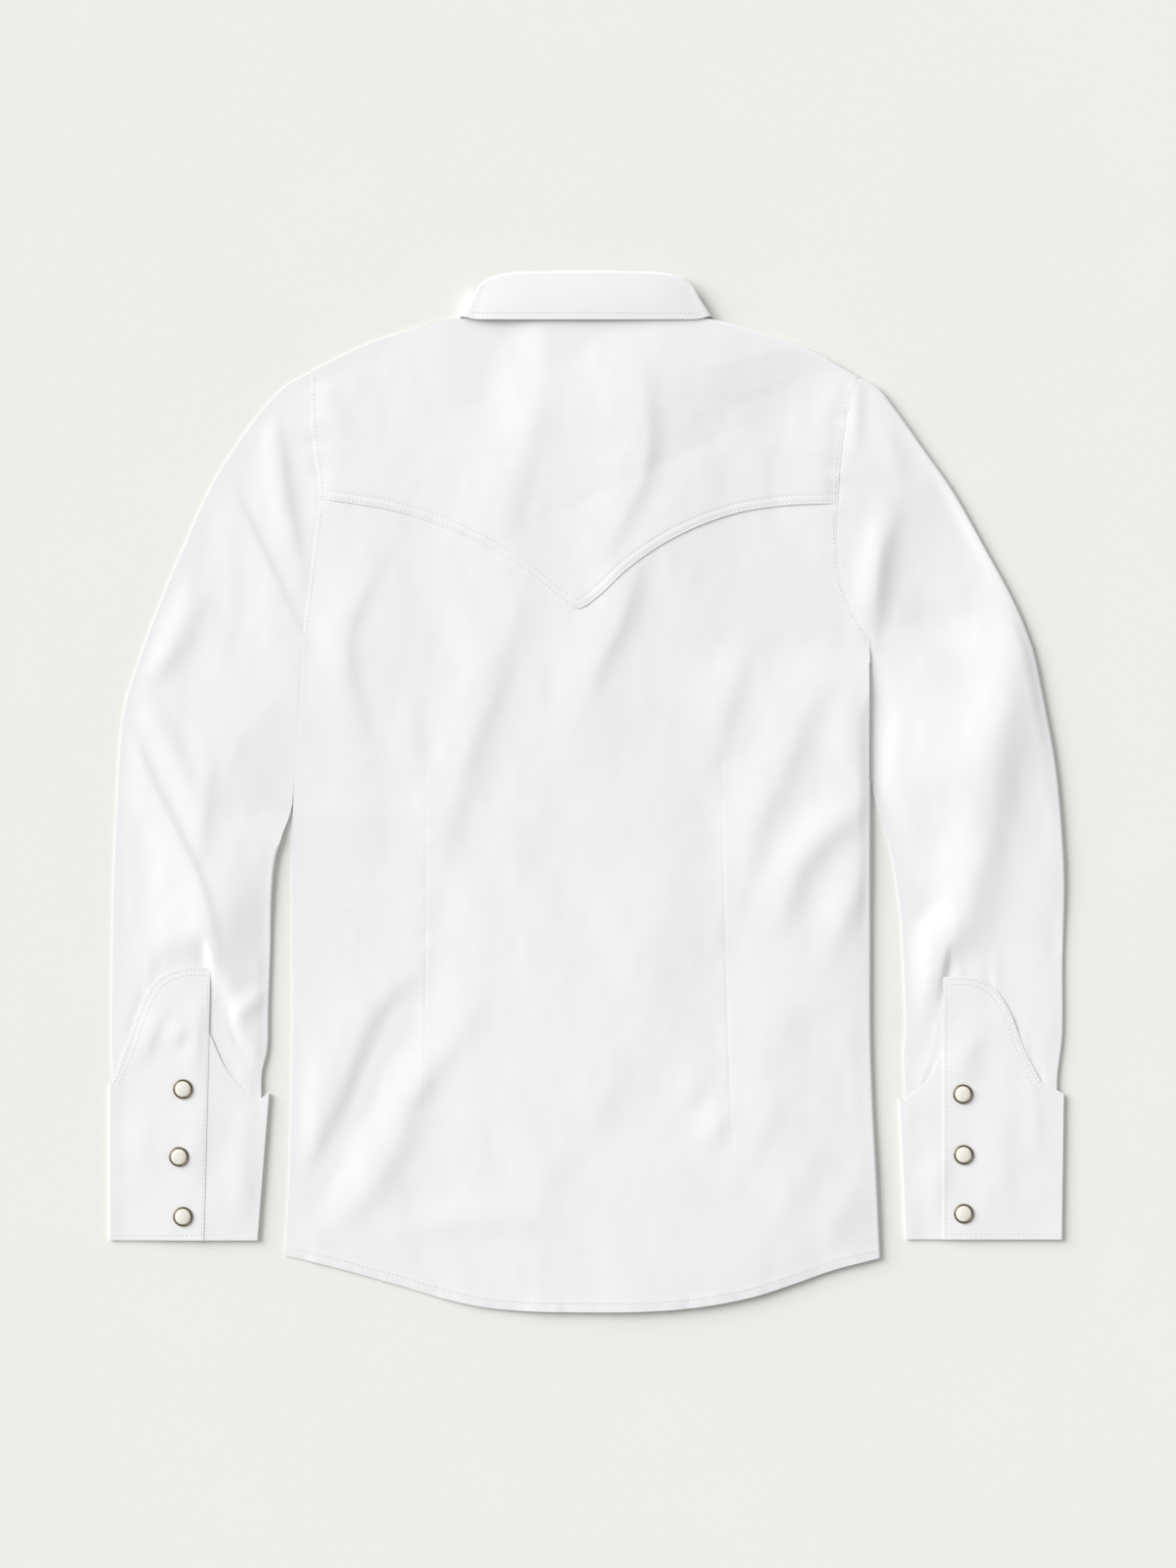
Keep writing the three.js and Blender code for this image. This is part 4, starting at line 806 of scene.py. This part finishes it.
def sleeve_height(side, x, y):
    """Upper layer, whose folds die out at the cuff, with gathers at the armhole and along the cuff."""
    free = smoothstep(above_cuff(side, x, y) / CUFF_HOLD)
    tucked = np.exp(-((nearest(EDGE["armhole_" + side], x, y)[0] / 2.5) ** 2))
    z = top_height(x, y, free) + armhole_relief(x, y) - HEAD_LOWER * tucked
    gather = 0.5 * noise(x / 5, y / 40, 52) * np.exp(-np.abs(above_cuff(side, x, y)) / 9)
    return z + gather * smoothstep(edge_distance(x, y) / 8) * (free > 0)


def sleeve_plan(side, a, s):
    """Straight across from the outer edge, a = 0, to the inner, a = 1, at the share s of their lengths.
    Near the armhole it is bent to the armhole's curve, and least of all at the underarm."""
    outer, inner, armhole = (EDGE[name + side] for name in ("sleeve_outer_", "sleeve_inner_", "armhole_"))
    a, s = np.broadcast_arrays(a, s)
    share = a[..., None]
    straight = at(outer, s) * (1 - share) + at(inner, s) * share
    head = at(outer, 0.0) * (1 - share) + at(inner, 0.0) * share
    bend = 0.3 - 0.27 * ramp(a, 0.5, 0.95)
    return straight + (at(armhole, a) - head) * (1 - smoothstep(s / bend))[..., None]


def parted(side, y):
    """0 where the sleeve meets the body, 1 below the place where they part."""
    return ramp(y, OPEN_FROM[side] + 4, OPEN_FROM[side] - 4)


for side, sign in (("left", -1), ("right", 1)):
    s = stations(SLEEVE_LENGTH, 2.6, SELVEDGE, [0, 2])[:, None]
    upper = stations(SLEEVE_WIDTH, 2.2, UPPER_TURN, UPPER_TURN)[None]
    lower = stations(SLEEVE_WIDTH, 3.6, UNDER_TURN, UNDER_TURN)[None, -2:0:-1]
    plan = sleeve_plan(side, upper, s)
    z = sleeve_height(side, plan[..., 0], plan[..., 1])
    fold = fold_level(plan[..., 0], plan[..., 1])
    z[:, [0, -1]] = fold[:, [0, -1]]
    plan[:, 0, 0] -= sign * UNDERCUT
    plan[:, -1, 0] += sign * UNDERCUT * parted(side, plan[:, -1, 1])
    plan[..., 0] -= sign * HEAD_UNDER * (1 - parted(side, plan[..., 1]))
    top = np.dstack([plan, z])
    plan = sleeve_plan(side, lower, s)
    plan[..., 0] -= sign * HEAD_UNDER * (1 - parted(side, plan[..., 1]))
    off = np.minimum(lower, 1 - lower) * SLEEVE_WIDTH
    ripple = 0.06 + 0.06 * noise(plan[..., 0] / 19, plan[..., 1] / 37, 53)
    lie = REST + CUFF_ROOM * ramp(plan[..., 1], *CUFF_ROOM_SPAN) + ripple * smoothstep(off / 14)
    fold = fold_level(plan[..., 0], plan[..., 1])
    lit, shaded = (edge_distance(plan[..., 0], plan[..., 1], [way]) for way in ("lit", "shaded"))
    below = np.dstack([plan, fold + (lie - fold) * quarter(off / between(UNDER_ROUND, lit, shaded))])
    points = np.concatenate([top, below], axis=1)
    middle_row = points[len(s) // 2]
    around = np.linalg.norm(np.diff(np.vstack([middle_row, middle_row[:1]]), axis=0), axis=1)
    around = np.concatenate([[0], np.cumsum(around)])
    if sign > 0:
        points = points[:, ::-1]
    sleeve = cloth_piece("sleeve_" + side + "_cloth", points[::-1], around, s[::-1, 0] * SLEEVE_LENGTH,
                         CLOTH, ring=True)
    sleeve.data.materials.append(SLEEVE_CLOTH)
    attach(sleeve, "root")
    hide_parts("sleeve_" + side)

# Cuffs
# Each cuff is one strip of interlined shirting, wrapped round the end of the sleeve and lapped on top,
# with a rounded peak at its upper edge and stitches all round. Three snaps close it.
CUFF_CLOTH = 0.32
CUFF_STAND = 0.4  # from the middle of the sleeve's cloth to the middle of the cuff's
LAP_RISE = CUFF_CLOTH + 0.02  # the overlap rides this much higher than the underlap beneath it
LAP_SETTLE = (30, -6)  # past the underlap's end, it comes down between these distances
# Places on the upper edge, as x and y, each with the x at which the same thread meets the hem. The folds
# carry on the outer and the inner edge of the sleeve.
CUFFS = {
    "left": {
        "overlap": [
            (-256.6, -120, -261.3), (-263.8, -119.6, -268), (-272, -119.9, -275), (-282.7, -122.6, -284),
            (-293.5, -128.6, -292), (-303, -144, -300), (-312, -168, -309), (-319, -187, -317)],
        "outer_fold": (-325.6, -199.5, -325.6), "inner_fold": (-216.5, -206, -224.5),
        "underlap": [
            (-223, -211, -230), (-232, -205, -238), (-246, -189, -250), (-258, -163, -262),
            (-269, -140, -272), (-280, -132, -284)],
        "hem": -306.4},
    "right": {
        "overlap": [
            (243.9, -126.6, 243.9), (250, -126.2, 250), (257.3, -126, 257), (268, -128, 268),
            (279, -134, 279), (290.1, -151.4, 290), (299, -175, 300), (311, -198.5, 312)],
        "outer_fold": (326.4, -206.4, 325), "inner_fold": (214.2, -210, 218.6),
        "underlap": [
            (221, -208.4, 224), (229, -202.5, 230), (236, -194, 237), (241.5, -182, 243),
            (247, -168, 249), (254, -158, 256)],
        "hem": -305.8},
}
CUFF_ROWS = (1.6, 5.4)  # rows of stitches in from the peaked edge
LAP_ROW, HEM_ROW = 1.8, 3.5  # and in from the lapped edge and the hem
CUFF_FOLDS = {
    "left": [
        (0.9, 11, 6, [(-290, -150), (-297, -164), (-303, -180)]), (1.0, 9, 6, [(-276, -158), (-283, -174)]),
        (0.7, 8, 5, [(-264, -146), (-268, -188)]), (0.7, 14, 10, [(-300, -216), (-306, -262)]),
        (0.6, 10, 8, [(-262, -216), (-270, -262)]), (0.5, 8, 7, [(-232, -222), (-238, -290)])],
    "right": [
        (0.8, 13, 8, [(266, -164), (259, -182), (255, -200)]), (0.7, 10, 7, [(244, -246), (238, -286)]),
        (0.6, 16, 11, [(288, -206), (282, -250), (284, -292)]), (0.5, 9, 8, [(304, -196), (308, -250)])],
}
CUFF_LENGTH = 104
CUFF_TURN = np.array([4.2, 2.8, 1.7, 0.9, 0.4, 0.15])[:, None]  # close columns at a fold
CUFF_LOW_TURN = np.array([0.15, 0.4, 0.9, 1.7])[:, None]

ARM = {}  # the outline of sleeve and cuff together
for side, cut in CUFFS.items():
    for way in ("outer", "inner"):
        sleeve_edge, fold = OUTLINE["sleeve_" + way + "_" + side][1:-3], cut[way + "_fold"]
        ARM[way, side] = curve(sleeve_edge + [fold[:2], (fold[2], cut["hem"])])


def cuff_height(side, x, y, lapped):
    """The sleeve's upper face without its folds, between the outlines of sleeve and cuff, plus the
    cuff's stand; the lapped end rides up over the end beneath it."""
    outer, inner = (nearest(ARM[way, side], x, y)[0] for way in ("outer", "inner"))
    lit, shaded = (outer, inner) if side == "left" else (inner, outer)
    off = np.minimum(lit, shaded)
    fold = between(FOLD_LEVEL, lit, shaded) + CUFF_ROOM
    level = shelf_level(y, lit, shaded) + CROWN * (1 - np.exp(-off / CROWN_REACH))
    level = fold + (level - fold) * turn_over(lit, "lit") * turn_over(shaded, "shaded")
    level = np.maximum(level, REST + UPPER_CLEAR + CUFF_ROOM + 0.05)
    past_end = np.abs(x) - abs(CUFFS[side]["underlap"][-1][0])
    raised = LAP_RISE * ramp(past_end, *LAP_SETTLE) * lapped
    wave = 0.3 * noise(x / 26, y / 30, 61) + 0.1 * noise(x / 11, y / 13, 62) + bells(CUFF_FOLDS[side], x, y)
    full = level + CUFF_STAND + raised + wave * smoothstep(off / 9)
    return fold + (full - fold) * quarter(off / 0.12)


for side, sign in (("left", -1), ("right", 1)):
    cut = CUFFS[side]
    outer, inner = np.array(cut["outer_fold"]), np.array(cut["inner_fold"])
    overlap, underlap = curve(cut["overlap"]), curve(cut["underlap"])
    inward = np.array([-sign, 0, -sign])
    columns = [  # once round the wrist, from the edge of the overlap to the end of the underlap
        ("overlap", at(overlap, stations(length_of(overlap), 1.5, SELVEDGE, [0]))),
        ("upper", outer + CUFF_TURN * (inward + [0, 0.6, 0])),
        ("lower", outer + UNDERCUT * inward[None]),
        ("lower", outer + CUFF_LOW_TURN * inward),
        ("lower", outer + (inner - outer) * np.linspace(0.05, 0.95, 30)[:, None]),
        ("lower", inner - CUFF_LOW_TURN[::-1] * inward),
        ("lower", inner - UNDERCUT * inward[None]),
        ("upper", inner - CUFF_TURN[::-1] * (inward + [0, 0.48, 0])),
        ("upper", at(underlap, stations(length_of(underlap), 1.6, [0], [0]))),
    ]
    up = stations(CUFF_LENGTH, 1.8, [0, 0.5, 1.2, 2.4, 4], [0, 0.6, 1.2, 1.6, 2.0, 2.8, 3.8, 4.6])[:, None]
    blocks = []
    for kind, edge in columns:
        x = edge[:, 2] + (edge[:, 0] - edge[:, 2]) * up
        y = cut["hem"] + (edge[:, 1] - cut["hem"]) * up
        if kind == "lower":
            off = np.min([np.abs(x - end[2] - (end[0] - end[2]) * up) for end in (outer, inner)], axis=0)
            lit = np.abs(x - (outer if side == "left" else inner)[0]) < 30
            fold = np.where(lit, FOLD_LEVEL["lit"], FOLD_LEVEL["shaded"]) + CUFF_ROOM
            turn = quarter(off / np.where(lit, UNDER_ROUND["lit"], UNDER_ROUND["shaded"]))
            z = fold + (CUFF_CLOTH / 2 - fold) * turn
        else:
            z = cuff_height(side, x, y, 1.0 if kind == "overlap" else 0.0)
        blocks.append(np.dstack([x, y, z]))
    points = np.concatenate(blocks, axis=1)
    around = np.linalg.norm(np.diff(points[len(up) // 2], axis=0), axis=1)
    around = np.concatenate([[0], np.cumsum(around)])
    if sign > 0:
        points, around = points[:, ::-1], around[::-1]
    cuff = cloth_piece("cuff_" + side + "_cloth", points, around, up[:, 0] * CUFF_LENGTH, CUFF_CLOTH)
    cuff.data.materials.append(BODY_CLOTH)
    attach(cuff, "root")
    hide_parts("cuff_" + side)
    corner = (cut["overlap"][0][2], cut["hem"])
    peak = curve([spot[:2] for spot in cut["overlap"]] + [cut["outer_fold"][:2]])
    lap_edge = curve([cut["overlap"][0][:2], corner])
    hem_edge = curve([corner, (cut["outer_fold"][2], cut["hem"])])
    cuff_lines = [inset(peak, -sign * row, 0.04, 0.97) for row in CUFF_ROWS]
    cuff_lines += [inset(lap_edge, sign * LAP_ROW, 0.03, 0.97), inset(hem_edge, sign * HEM_ROW, 0.03, 0.95)]
    cuff_seams = stitches("cuff_" + side + "_stitching", [
        laid(line, lambda x, y: cuff_height(side, x, y, 1.0), CUFF_CLOTH) for line in cuff_lines])

# Collar
# A stand runs round the neckline and laps at the front; the fall is sewn to its top and folds down
# over it, stitched along its edge. Both are interlined, and their leaves lie flat on the table.
COLLAR_CLOTH = 0.7
# Stations from the centre back to the centre front: the stand's lower edge, its top, the fall's edge.
COLLAR = [
    ((0, 328.6, 6.2), (0, 353.6, 8.2), (0, 322.3, 7.5)),
    ((30, 328.4, 6.0), (28, 353.3, 8.0), (33, 322.3, 7.1)),
    ((56, 327.8, 5.4), (53, 352.2, 7.5), (60, 322.5, 6.3)),
    ((71.6, 327.4, 4.2), (67, 348.6, 6.6), (76, 322.8, 5.3)),
    ((78.0, 327.6, 3.1), (75, 340.4, 5.4), (85.4, 324.6, 4.2)),
    ((77.0, 316.6, 1.3), (73, 330.2, 2.3), (86.7, 323.0, 0.8)),
    ((71.0, 298.6, 1.2), (60, 315.6, 1.25), (86, 309, 0.4)),
    ((57.0, 280.8, 1.2), (46, 302, 1.2), (84.4, 284, 0.4)),
    ((36, 266.2, 1.7), (29, 292.5, 1.7), (79, 256, 0.4)),
    ((18, 259.2, 2.65), (15, 288.4, 2.65), (67, 226, 0.4)),
]
STAND_END = [((0, 257.8, 2.65), (0, 287.2, 2.65)), ((-13, 258.4, 2.65), (-12, 287.8, 2.65))]
STAND_LAP = 0.75  # the end of the stand that lies inside passes this far above the outer one
STAND_DEPTH, FALL_DEPTH = 30, 45  # of the cloth, for its weave
LEFTWARD = np.array([-1, 1, 1])  # turns a place on the right into its like on the left
half = np.array(COLLAR)
outer_end = np.concatenate([half[:, :2], np.array(STAND_END)])
inner_end = outer_end[:0:-1] * LEFTWARD
lapped = ramp(np.abs(inner_end[:, :1, 0]), 38, 14) * (inner_end[:, :1, 1] < 290)
inner_end[..., 2] += STAND_LAP * lapped
stand_rows = np.concatenate([inner_end, outer_end])
steps = np.linspace(0, 1, 260)  # shares of the way round, counted by stations
foot, top = (at(curve(stand_rows[:, k], by_length=False), steps) for k in (0, 1))
up = np.linspace(0, 0.96, 14)  # the stand ends just inside the fold of the fall
points = foot + (top - foot) * up[:, None, None]
around = np.concatenate([[0], np.cumsum(np.linalg.norm(np.diff(foot, axis=0), axis=1))])
stand = cloth_piece("collar_stand_cloth", points, around, up * STAND_DEPTH, COLLAR_CLOTH)
stand.data.materials.append(BODY_CLOTH)
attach(stand, "root")
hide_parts("collar_stand")

FALL_CLEAR = 1.15  # from the middle of the stand to the middle of the fall over it
FALL_BULGE = 0.45  # the fall swells by this between its fold and its edge at the back
CREST_UP, CREST_OUT = 1.3, 0.35  # the fold's crest lies this far past the stand's top, and this far out
FOLD_ROUND = 0.8  # the fold swings out this far beyond its crest
FALL_START = 0.6  # the fall hangs free from this far below the stand's top
LEAF_LEVEL = 0.4  # middle of the leaves that lie flat on the table
BACK_SHARE = 0.44  # of the way round, which is the back; the flat leaves are the rest
FALL_ROW = 4.7  # stitches in from the fall's edge
fall_rows = np.concatenate([half[:0:-1] * LEFTWARD, half])
foot, top, edge = (at(curve(fall_rows[:, k], by_length=False), steps) for k in range(3))
rise = top - foot
rise /= np.linalg.norm(rise, axis=1)[:, None]
out = np.cross(np.gradient(top, axis=0), rise)
out /= np.linalg.norm(out, axis=1)[:, None]
crest = top + rise * CREST_UP + out * CREST_OUT
start = top + out * FALL_CLEAR - rise * FALL_START
leaves = np.abs(steps - 0.5) > BACK_SHARE / 2
crest[leaves, 2] = np.maximum(crest[leaves, 2], LEAF_LEVEL)
start[leaves, 2] = LEAF_LEVEL


def swell(down):
    """Rise of the fall at each share of the way down it: half a sine wave, at the back alone."""
    return FALL_BULGE * ~leaves * np.exp(-((steps - 0.5) / 0.13) ** 4) * np.sin(np.pi * down)


down = np.concatenate([[0, 0.03, 0.06, 0.1], np.linspace(0.15, 0.8, 24), np.linspace(0.82, 1, 14)])
fall_points = start + (edge - start) * down[:, None, None]
fall_points[..., 2] += swell(down[:, None])
roll = np.linspace(0, 1, 7)[:-1, None, None]
fold_points = (1 - roll) ** 2 * crest + 2 * roll * (1 - roll) * (crest + out * FOLD_ROUND) + roll**2 * start
points = np.concatenate([fold_points, fall_points])
around = np.concatenate([[0], np.cumsum(np.linalg.norm(np.diff(edge, axis=0), axis=1))])
up = np.linspace(0, FALL_DEPTH, len(points))
fall = cloth_piece("collar_fall_cloth", points, around, up, COLLAR_CLOTH)
# The collar's copy of the shirting is painted lighter than the body's. This painted highlight evens out the
# shade on the fall, which slopes away from the lamp.
fall.data.materials.append(shirting("white_cotton_poplin_collar_painted_light", True, "#F4F4F5", "#F6F6F8"))
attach(fall, "root")
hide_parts("collar_fall")
in_from_edge = FALL_ROW / np.linalg.norm(edge - start, axis=1)
row = edge + (start - edge) * in_from_edge[:, None]
row[:, 2] += swell(1 - in_from_edge)
seen = (steps > 0.32) & (steps < 0.68)
row_run = curve(row[seen][::4])
stitch_count = int(length_of(row_run) / (STITCH + STITCH_GAP))
row_line = at(row_run, np.linspace(0, 1, stitch_count)) + [0, 0, COLLAR_CLOTH / 2 + 0.05]
fall_seams = stitches("collar_stitching", [row_line])

# Snaps
# Each snap is a pressed ring of antiqued brass that holds a domed cap of pearl resin. Three close each
# cuff and face up; seven down the front and one on the collar stand face the table.
SNAP_RADIUS, PEARL_RADIUS = 6.7, 5.4
PEARL, tree, shader = new_material("mother_of_pearl_resin", Roughness=0.22, IOR=1.53, Coat_Weight=0.5,
                                   Coat_Roughness=0.12)
# Moulded pearl resin: creamy and glossy, with soft, paler clouds in it.
CLOUD = 4.76  # mm; the clouds in the resin
place = add_node(tree, "ShaderNodeTexCoord").outputs["Object"]
cloud = add_node(tree, "ShaderNodeTexNoise", Vector=place, Scale=1 / (CLOUD * MM), Detail=3.0,
                 Distortion=1.2).outputs["Fac"]
tint = add_node(tree, "ShaderNodeMix", {"data_type": "RGBA"}, i0=cloud, i6=linear("#E6E2D4"),
                i7=linear("#F8F6EE")).outputs[2]
tree.links.new(tint, shader.inputs["Base Color"])
RIM, tree, shader = new_material("antiqued_brass", Metallic=1.0, Roughness=0.36)
# Antiqued brass: a warm, half-dull metal, browner in spots where its finish has darkened it.
TARNISH = 1.11  # mm; the darkened spots
place = add_node(tree, "ShaderNodeTexCoord").outputs["Object"]
tarnish = add_node(tree, "ShaderNodeTexNoise", Vector=place, Scale=1 / (TARNISH * MM),
                   Detail=2.0).outputs["Fac"]
tint = add_node(tree, "ShaderNodeMix", {"data_type": "RGBA"}, i0=tarnish, i6=linear("#4F4636"),
                i7=linear("#9C8E70")).outputs[2]
tree.links.new(tint, shader.inputs["Base Color"])
# Profiles of radius and height above the cloth: the ring's round section, and the cap with its dome.
RING_BORE = PEARL_RADIUS + 0.1
RING_PROFILE = [(RING_BORE, 0.6), (6.0, 0.05), (6.3, 0.0), (6.6, 0.12), (SNAP_RADIUS, 0.4), (6.68, 0.8),
                (6.55, 1.15), (6.25, 1.38), (5.95, 1.42), (5.7, 1.3), (RING_BORE, 1.0)]
DOME_FROM, DOME_RISE = 0.95, 1.05
PEARL_PROFILE = [(0, 0.05), (PEARL_RADIUS - 0.2, 0.05), (PEARL_RADIUS, 0.3), (PEARL_RADIUS, DOME_FROM)] + [
    (PEARL_RADIUS * np.cos(angle), DOME_FROM + DOME_RISE * np.sin(angle))
    for angle in np.linspace(0, np.pi / 2, 12)[1:]]


def turned_part(name, profile, middle, facing, closed):
    """A profile of radius and height turned round an upright axis at middle, in mm, facing up or down;
    with closed its ends meet, otherwise they lie on the axis."""
    sides = 48
    angle = np.linspace(0, 2 * np.pi, sides, endpoint=False)
    r, h = np.array(profile, float).T
    ring = np.stack([np.outer(r, np.cos(angle)), np.outer(r, np.sin(angle)),
                     np.repeat(facing * h[:, None], sides, axis=1)], axis=-1) + middle
    hoop = np.arange(len(profile)) * sides
    pairs = np.stack([hoop, np.roll(hoop, -1)], axis=1)[:None if closed else -1]
    here = np.arange(sides)
    beside = (here + 1) % sides
    faces = np.stack([pairs[:, :1] + here, pairs[:, :1] + beside, pairs[:, 1:] + beside,
                      pairs[:, 1:] + here], axis=-1)
    piece = smooth_piece(name, ring, faces)
    work = bmesh.new()
    work.from_mesh(piece.data)
    bmesh.ops.remove_doubles(work, verts=work.verts, dist=1e-6)
    bmesh.ops.recalc_face_normals(work, faces=work.faces)
    work.to_mesh(piece.data)
    work.free()
    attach(piece, "root")
    return piece


# Places of the snaps, from the top of each row down.
CUFF_SNAPS = {"left": [(-275.4, -203), (-278.1, -249.2), (-275.4, -290.1)],
              "right": [(257.3, -206.4), (257.9, -247.9), (257.9, -288.1)]}
FRONT_SNAPS = [(0, y) for y in np.linspace(TOP_SNAP[1], -262, 7)]
snaps = []
for side, places in CUFF_SNAPS.items():
    for i, (x, y) in enumerate(places):
        angle = np.linspace(0, 2 * np.pi, 16)
        under_rim = cuff_height(side, x + SNAP_RADIUS * np.cos(angle), y + SNAP_RADIUS * np.sin(angle), 1.0)
        z = under_rim.mean() + CUFF_CLOTH / 2 + 0.05
        snaps.append((f"cuff_snap_{side}_{i + 1}", (x, y, z), 1))
snaps += [(f"front_snap_{i + 1}", (x, y, SNAP_HEIGHT), -1) for i, (x, y) in enumerate(FRONT_SNAPS)]
snaps.append(("collar_snap", (0, 272, SNAP_HEIGHT + 0.05), -1))
for name, middle, facing in snaps:
    ring = turned_part(name + "_rim", RING_PROFILE, np.array(middle), facing, True)
    ring.data.materials.append(RIM)
    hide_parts(name + "_ring")
    cap = turned_part(name + "_cap", PEARL_PROFILE, np.array(middle), facing, False)
    cap.data.materials.append(PEARL)
    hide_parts(name + "_pearl")

# Table, light and camera
# A pale, matt table; one broad lamp at the upper left over an even white surround; and a camera
# straight above, which takes in 1.072 m of the table from top to bottom. All sizes are in metres.
VIEW_HEIGHT = 1.072
CAMERA_HEIGHT = 3.0
VIEW_CENTRE = (0.0003, 0.0057)
TABLE_HALF, TABLE_TOP = 3.0, -0.0003
table_mesh = bpy.data.meshes.new("table")
table_mesh.from_pydata([(x * TABLE_HALF, y * TABLE_HALF, TABLE_TOP) for x, y in (
    (-1, -1), (1, -1), (1, 1), (-1, 1))], [], [(0, 1, 2, 3)])
table = bpy.data.objects.new("table", table_mesh)
bpy.context.collection.objects.link(table)
paper, tree, shader = new_material("matt_paper", Roughness=0.95)
# Matt card, with a tone so even that only its faint mottle shows.
MOTTLE = 111  # mm
place = add_node(tree, "ShaderNodeTexCoord").outputs["Object"]
mottle = add_node(tree, "ShaderNodeTexNoise", Scale=1 / (MOTTLE * MM), Vector=place).outputs["Fac"]
tint = add_node(tree, "ShaderNodeMix", {"data_type": "RGBA"}, i0=mottle, i6=linear("#EDEEE9"),
                i7=linear("#EEEFEA")).outputs[2]
tree.links.new(tint, shader.inputs["Base Color"])
shader.inputs["Specular IOR Level"].default_value = 0.0
table.data.materials.append(paper)

LAMP_ELEVATION, LAMP_AZIMUTH = np.radians(28), np.radians(150)
LAMP_SHARE, SURROUND_SHARE = 0.56, 0.44  # of the light that falls on the table
lamp = bpy.data.lights.new("lamp", "SUN")
lamp.energy = LAMP_SHARE * np.pi / np.sin(LAMP_ELEVATION)
lamp.angle = 0.8
lamp_object = bpy.data.objects.new("lamp", lamp)
lamp_object.rotation_euler = (np.pi / 2 - LAMP_ELEVATION, 0, LAMP_AZIMUTH + np.pi / 2)
bpy.context.collection.objects.link(lamp_object)
world = bpy.data.worlds.new("surround")
world.use_nodes = True
world.node_tree.nodes["Background"].inputs["Color"].default_value = (1, 1, 1, 1)
world.node_tree.nodes["Background"].inputs["Strength"].default_value = SURROUND_SHARE
bpy.context.scene.world = world
bpy.context.scene.view_settings.view_transform = "Standard"

camera = bpy.data.cameras.new("camera")
camera.sensor_width = 36
camera.lens = camera.sensor_width * CAMERA_HEIGHT / VIEW_HEIGHT
camera_object = bpy.data.objects.new("camera", camera)
camera_object.location = (*VIEW_CENTRE, CAMERA_HEIGHT)
bpy.context.collection.objects.link(camera_object)
bpy.context.scene.camera = camera_object
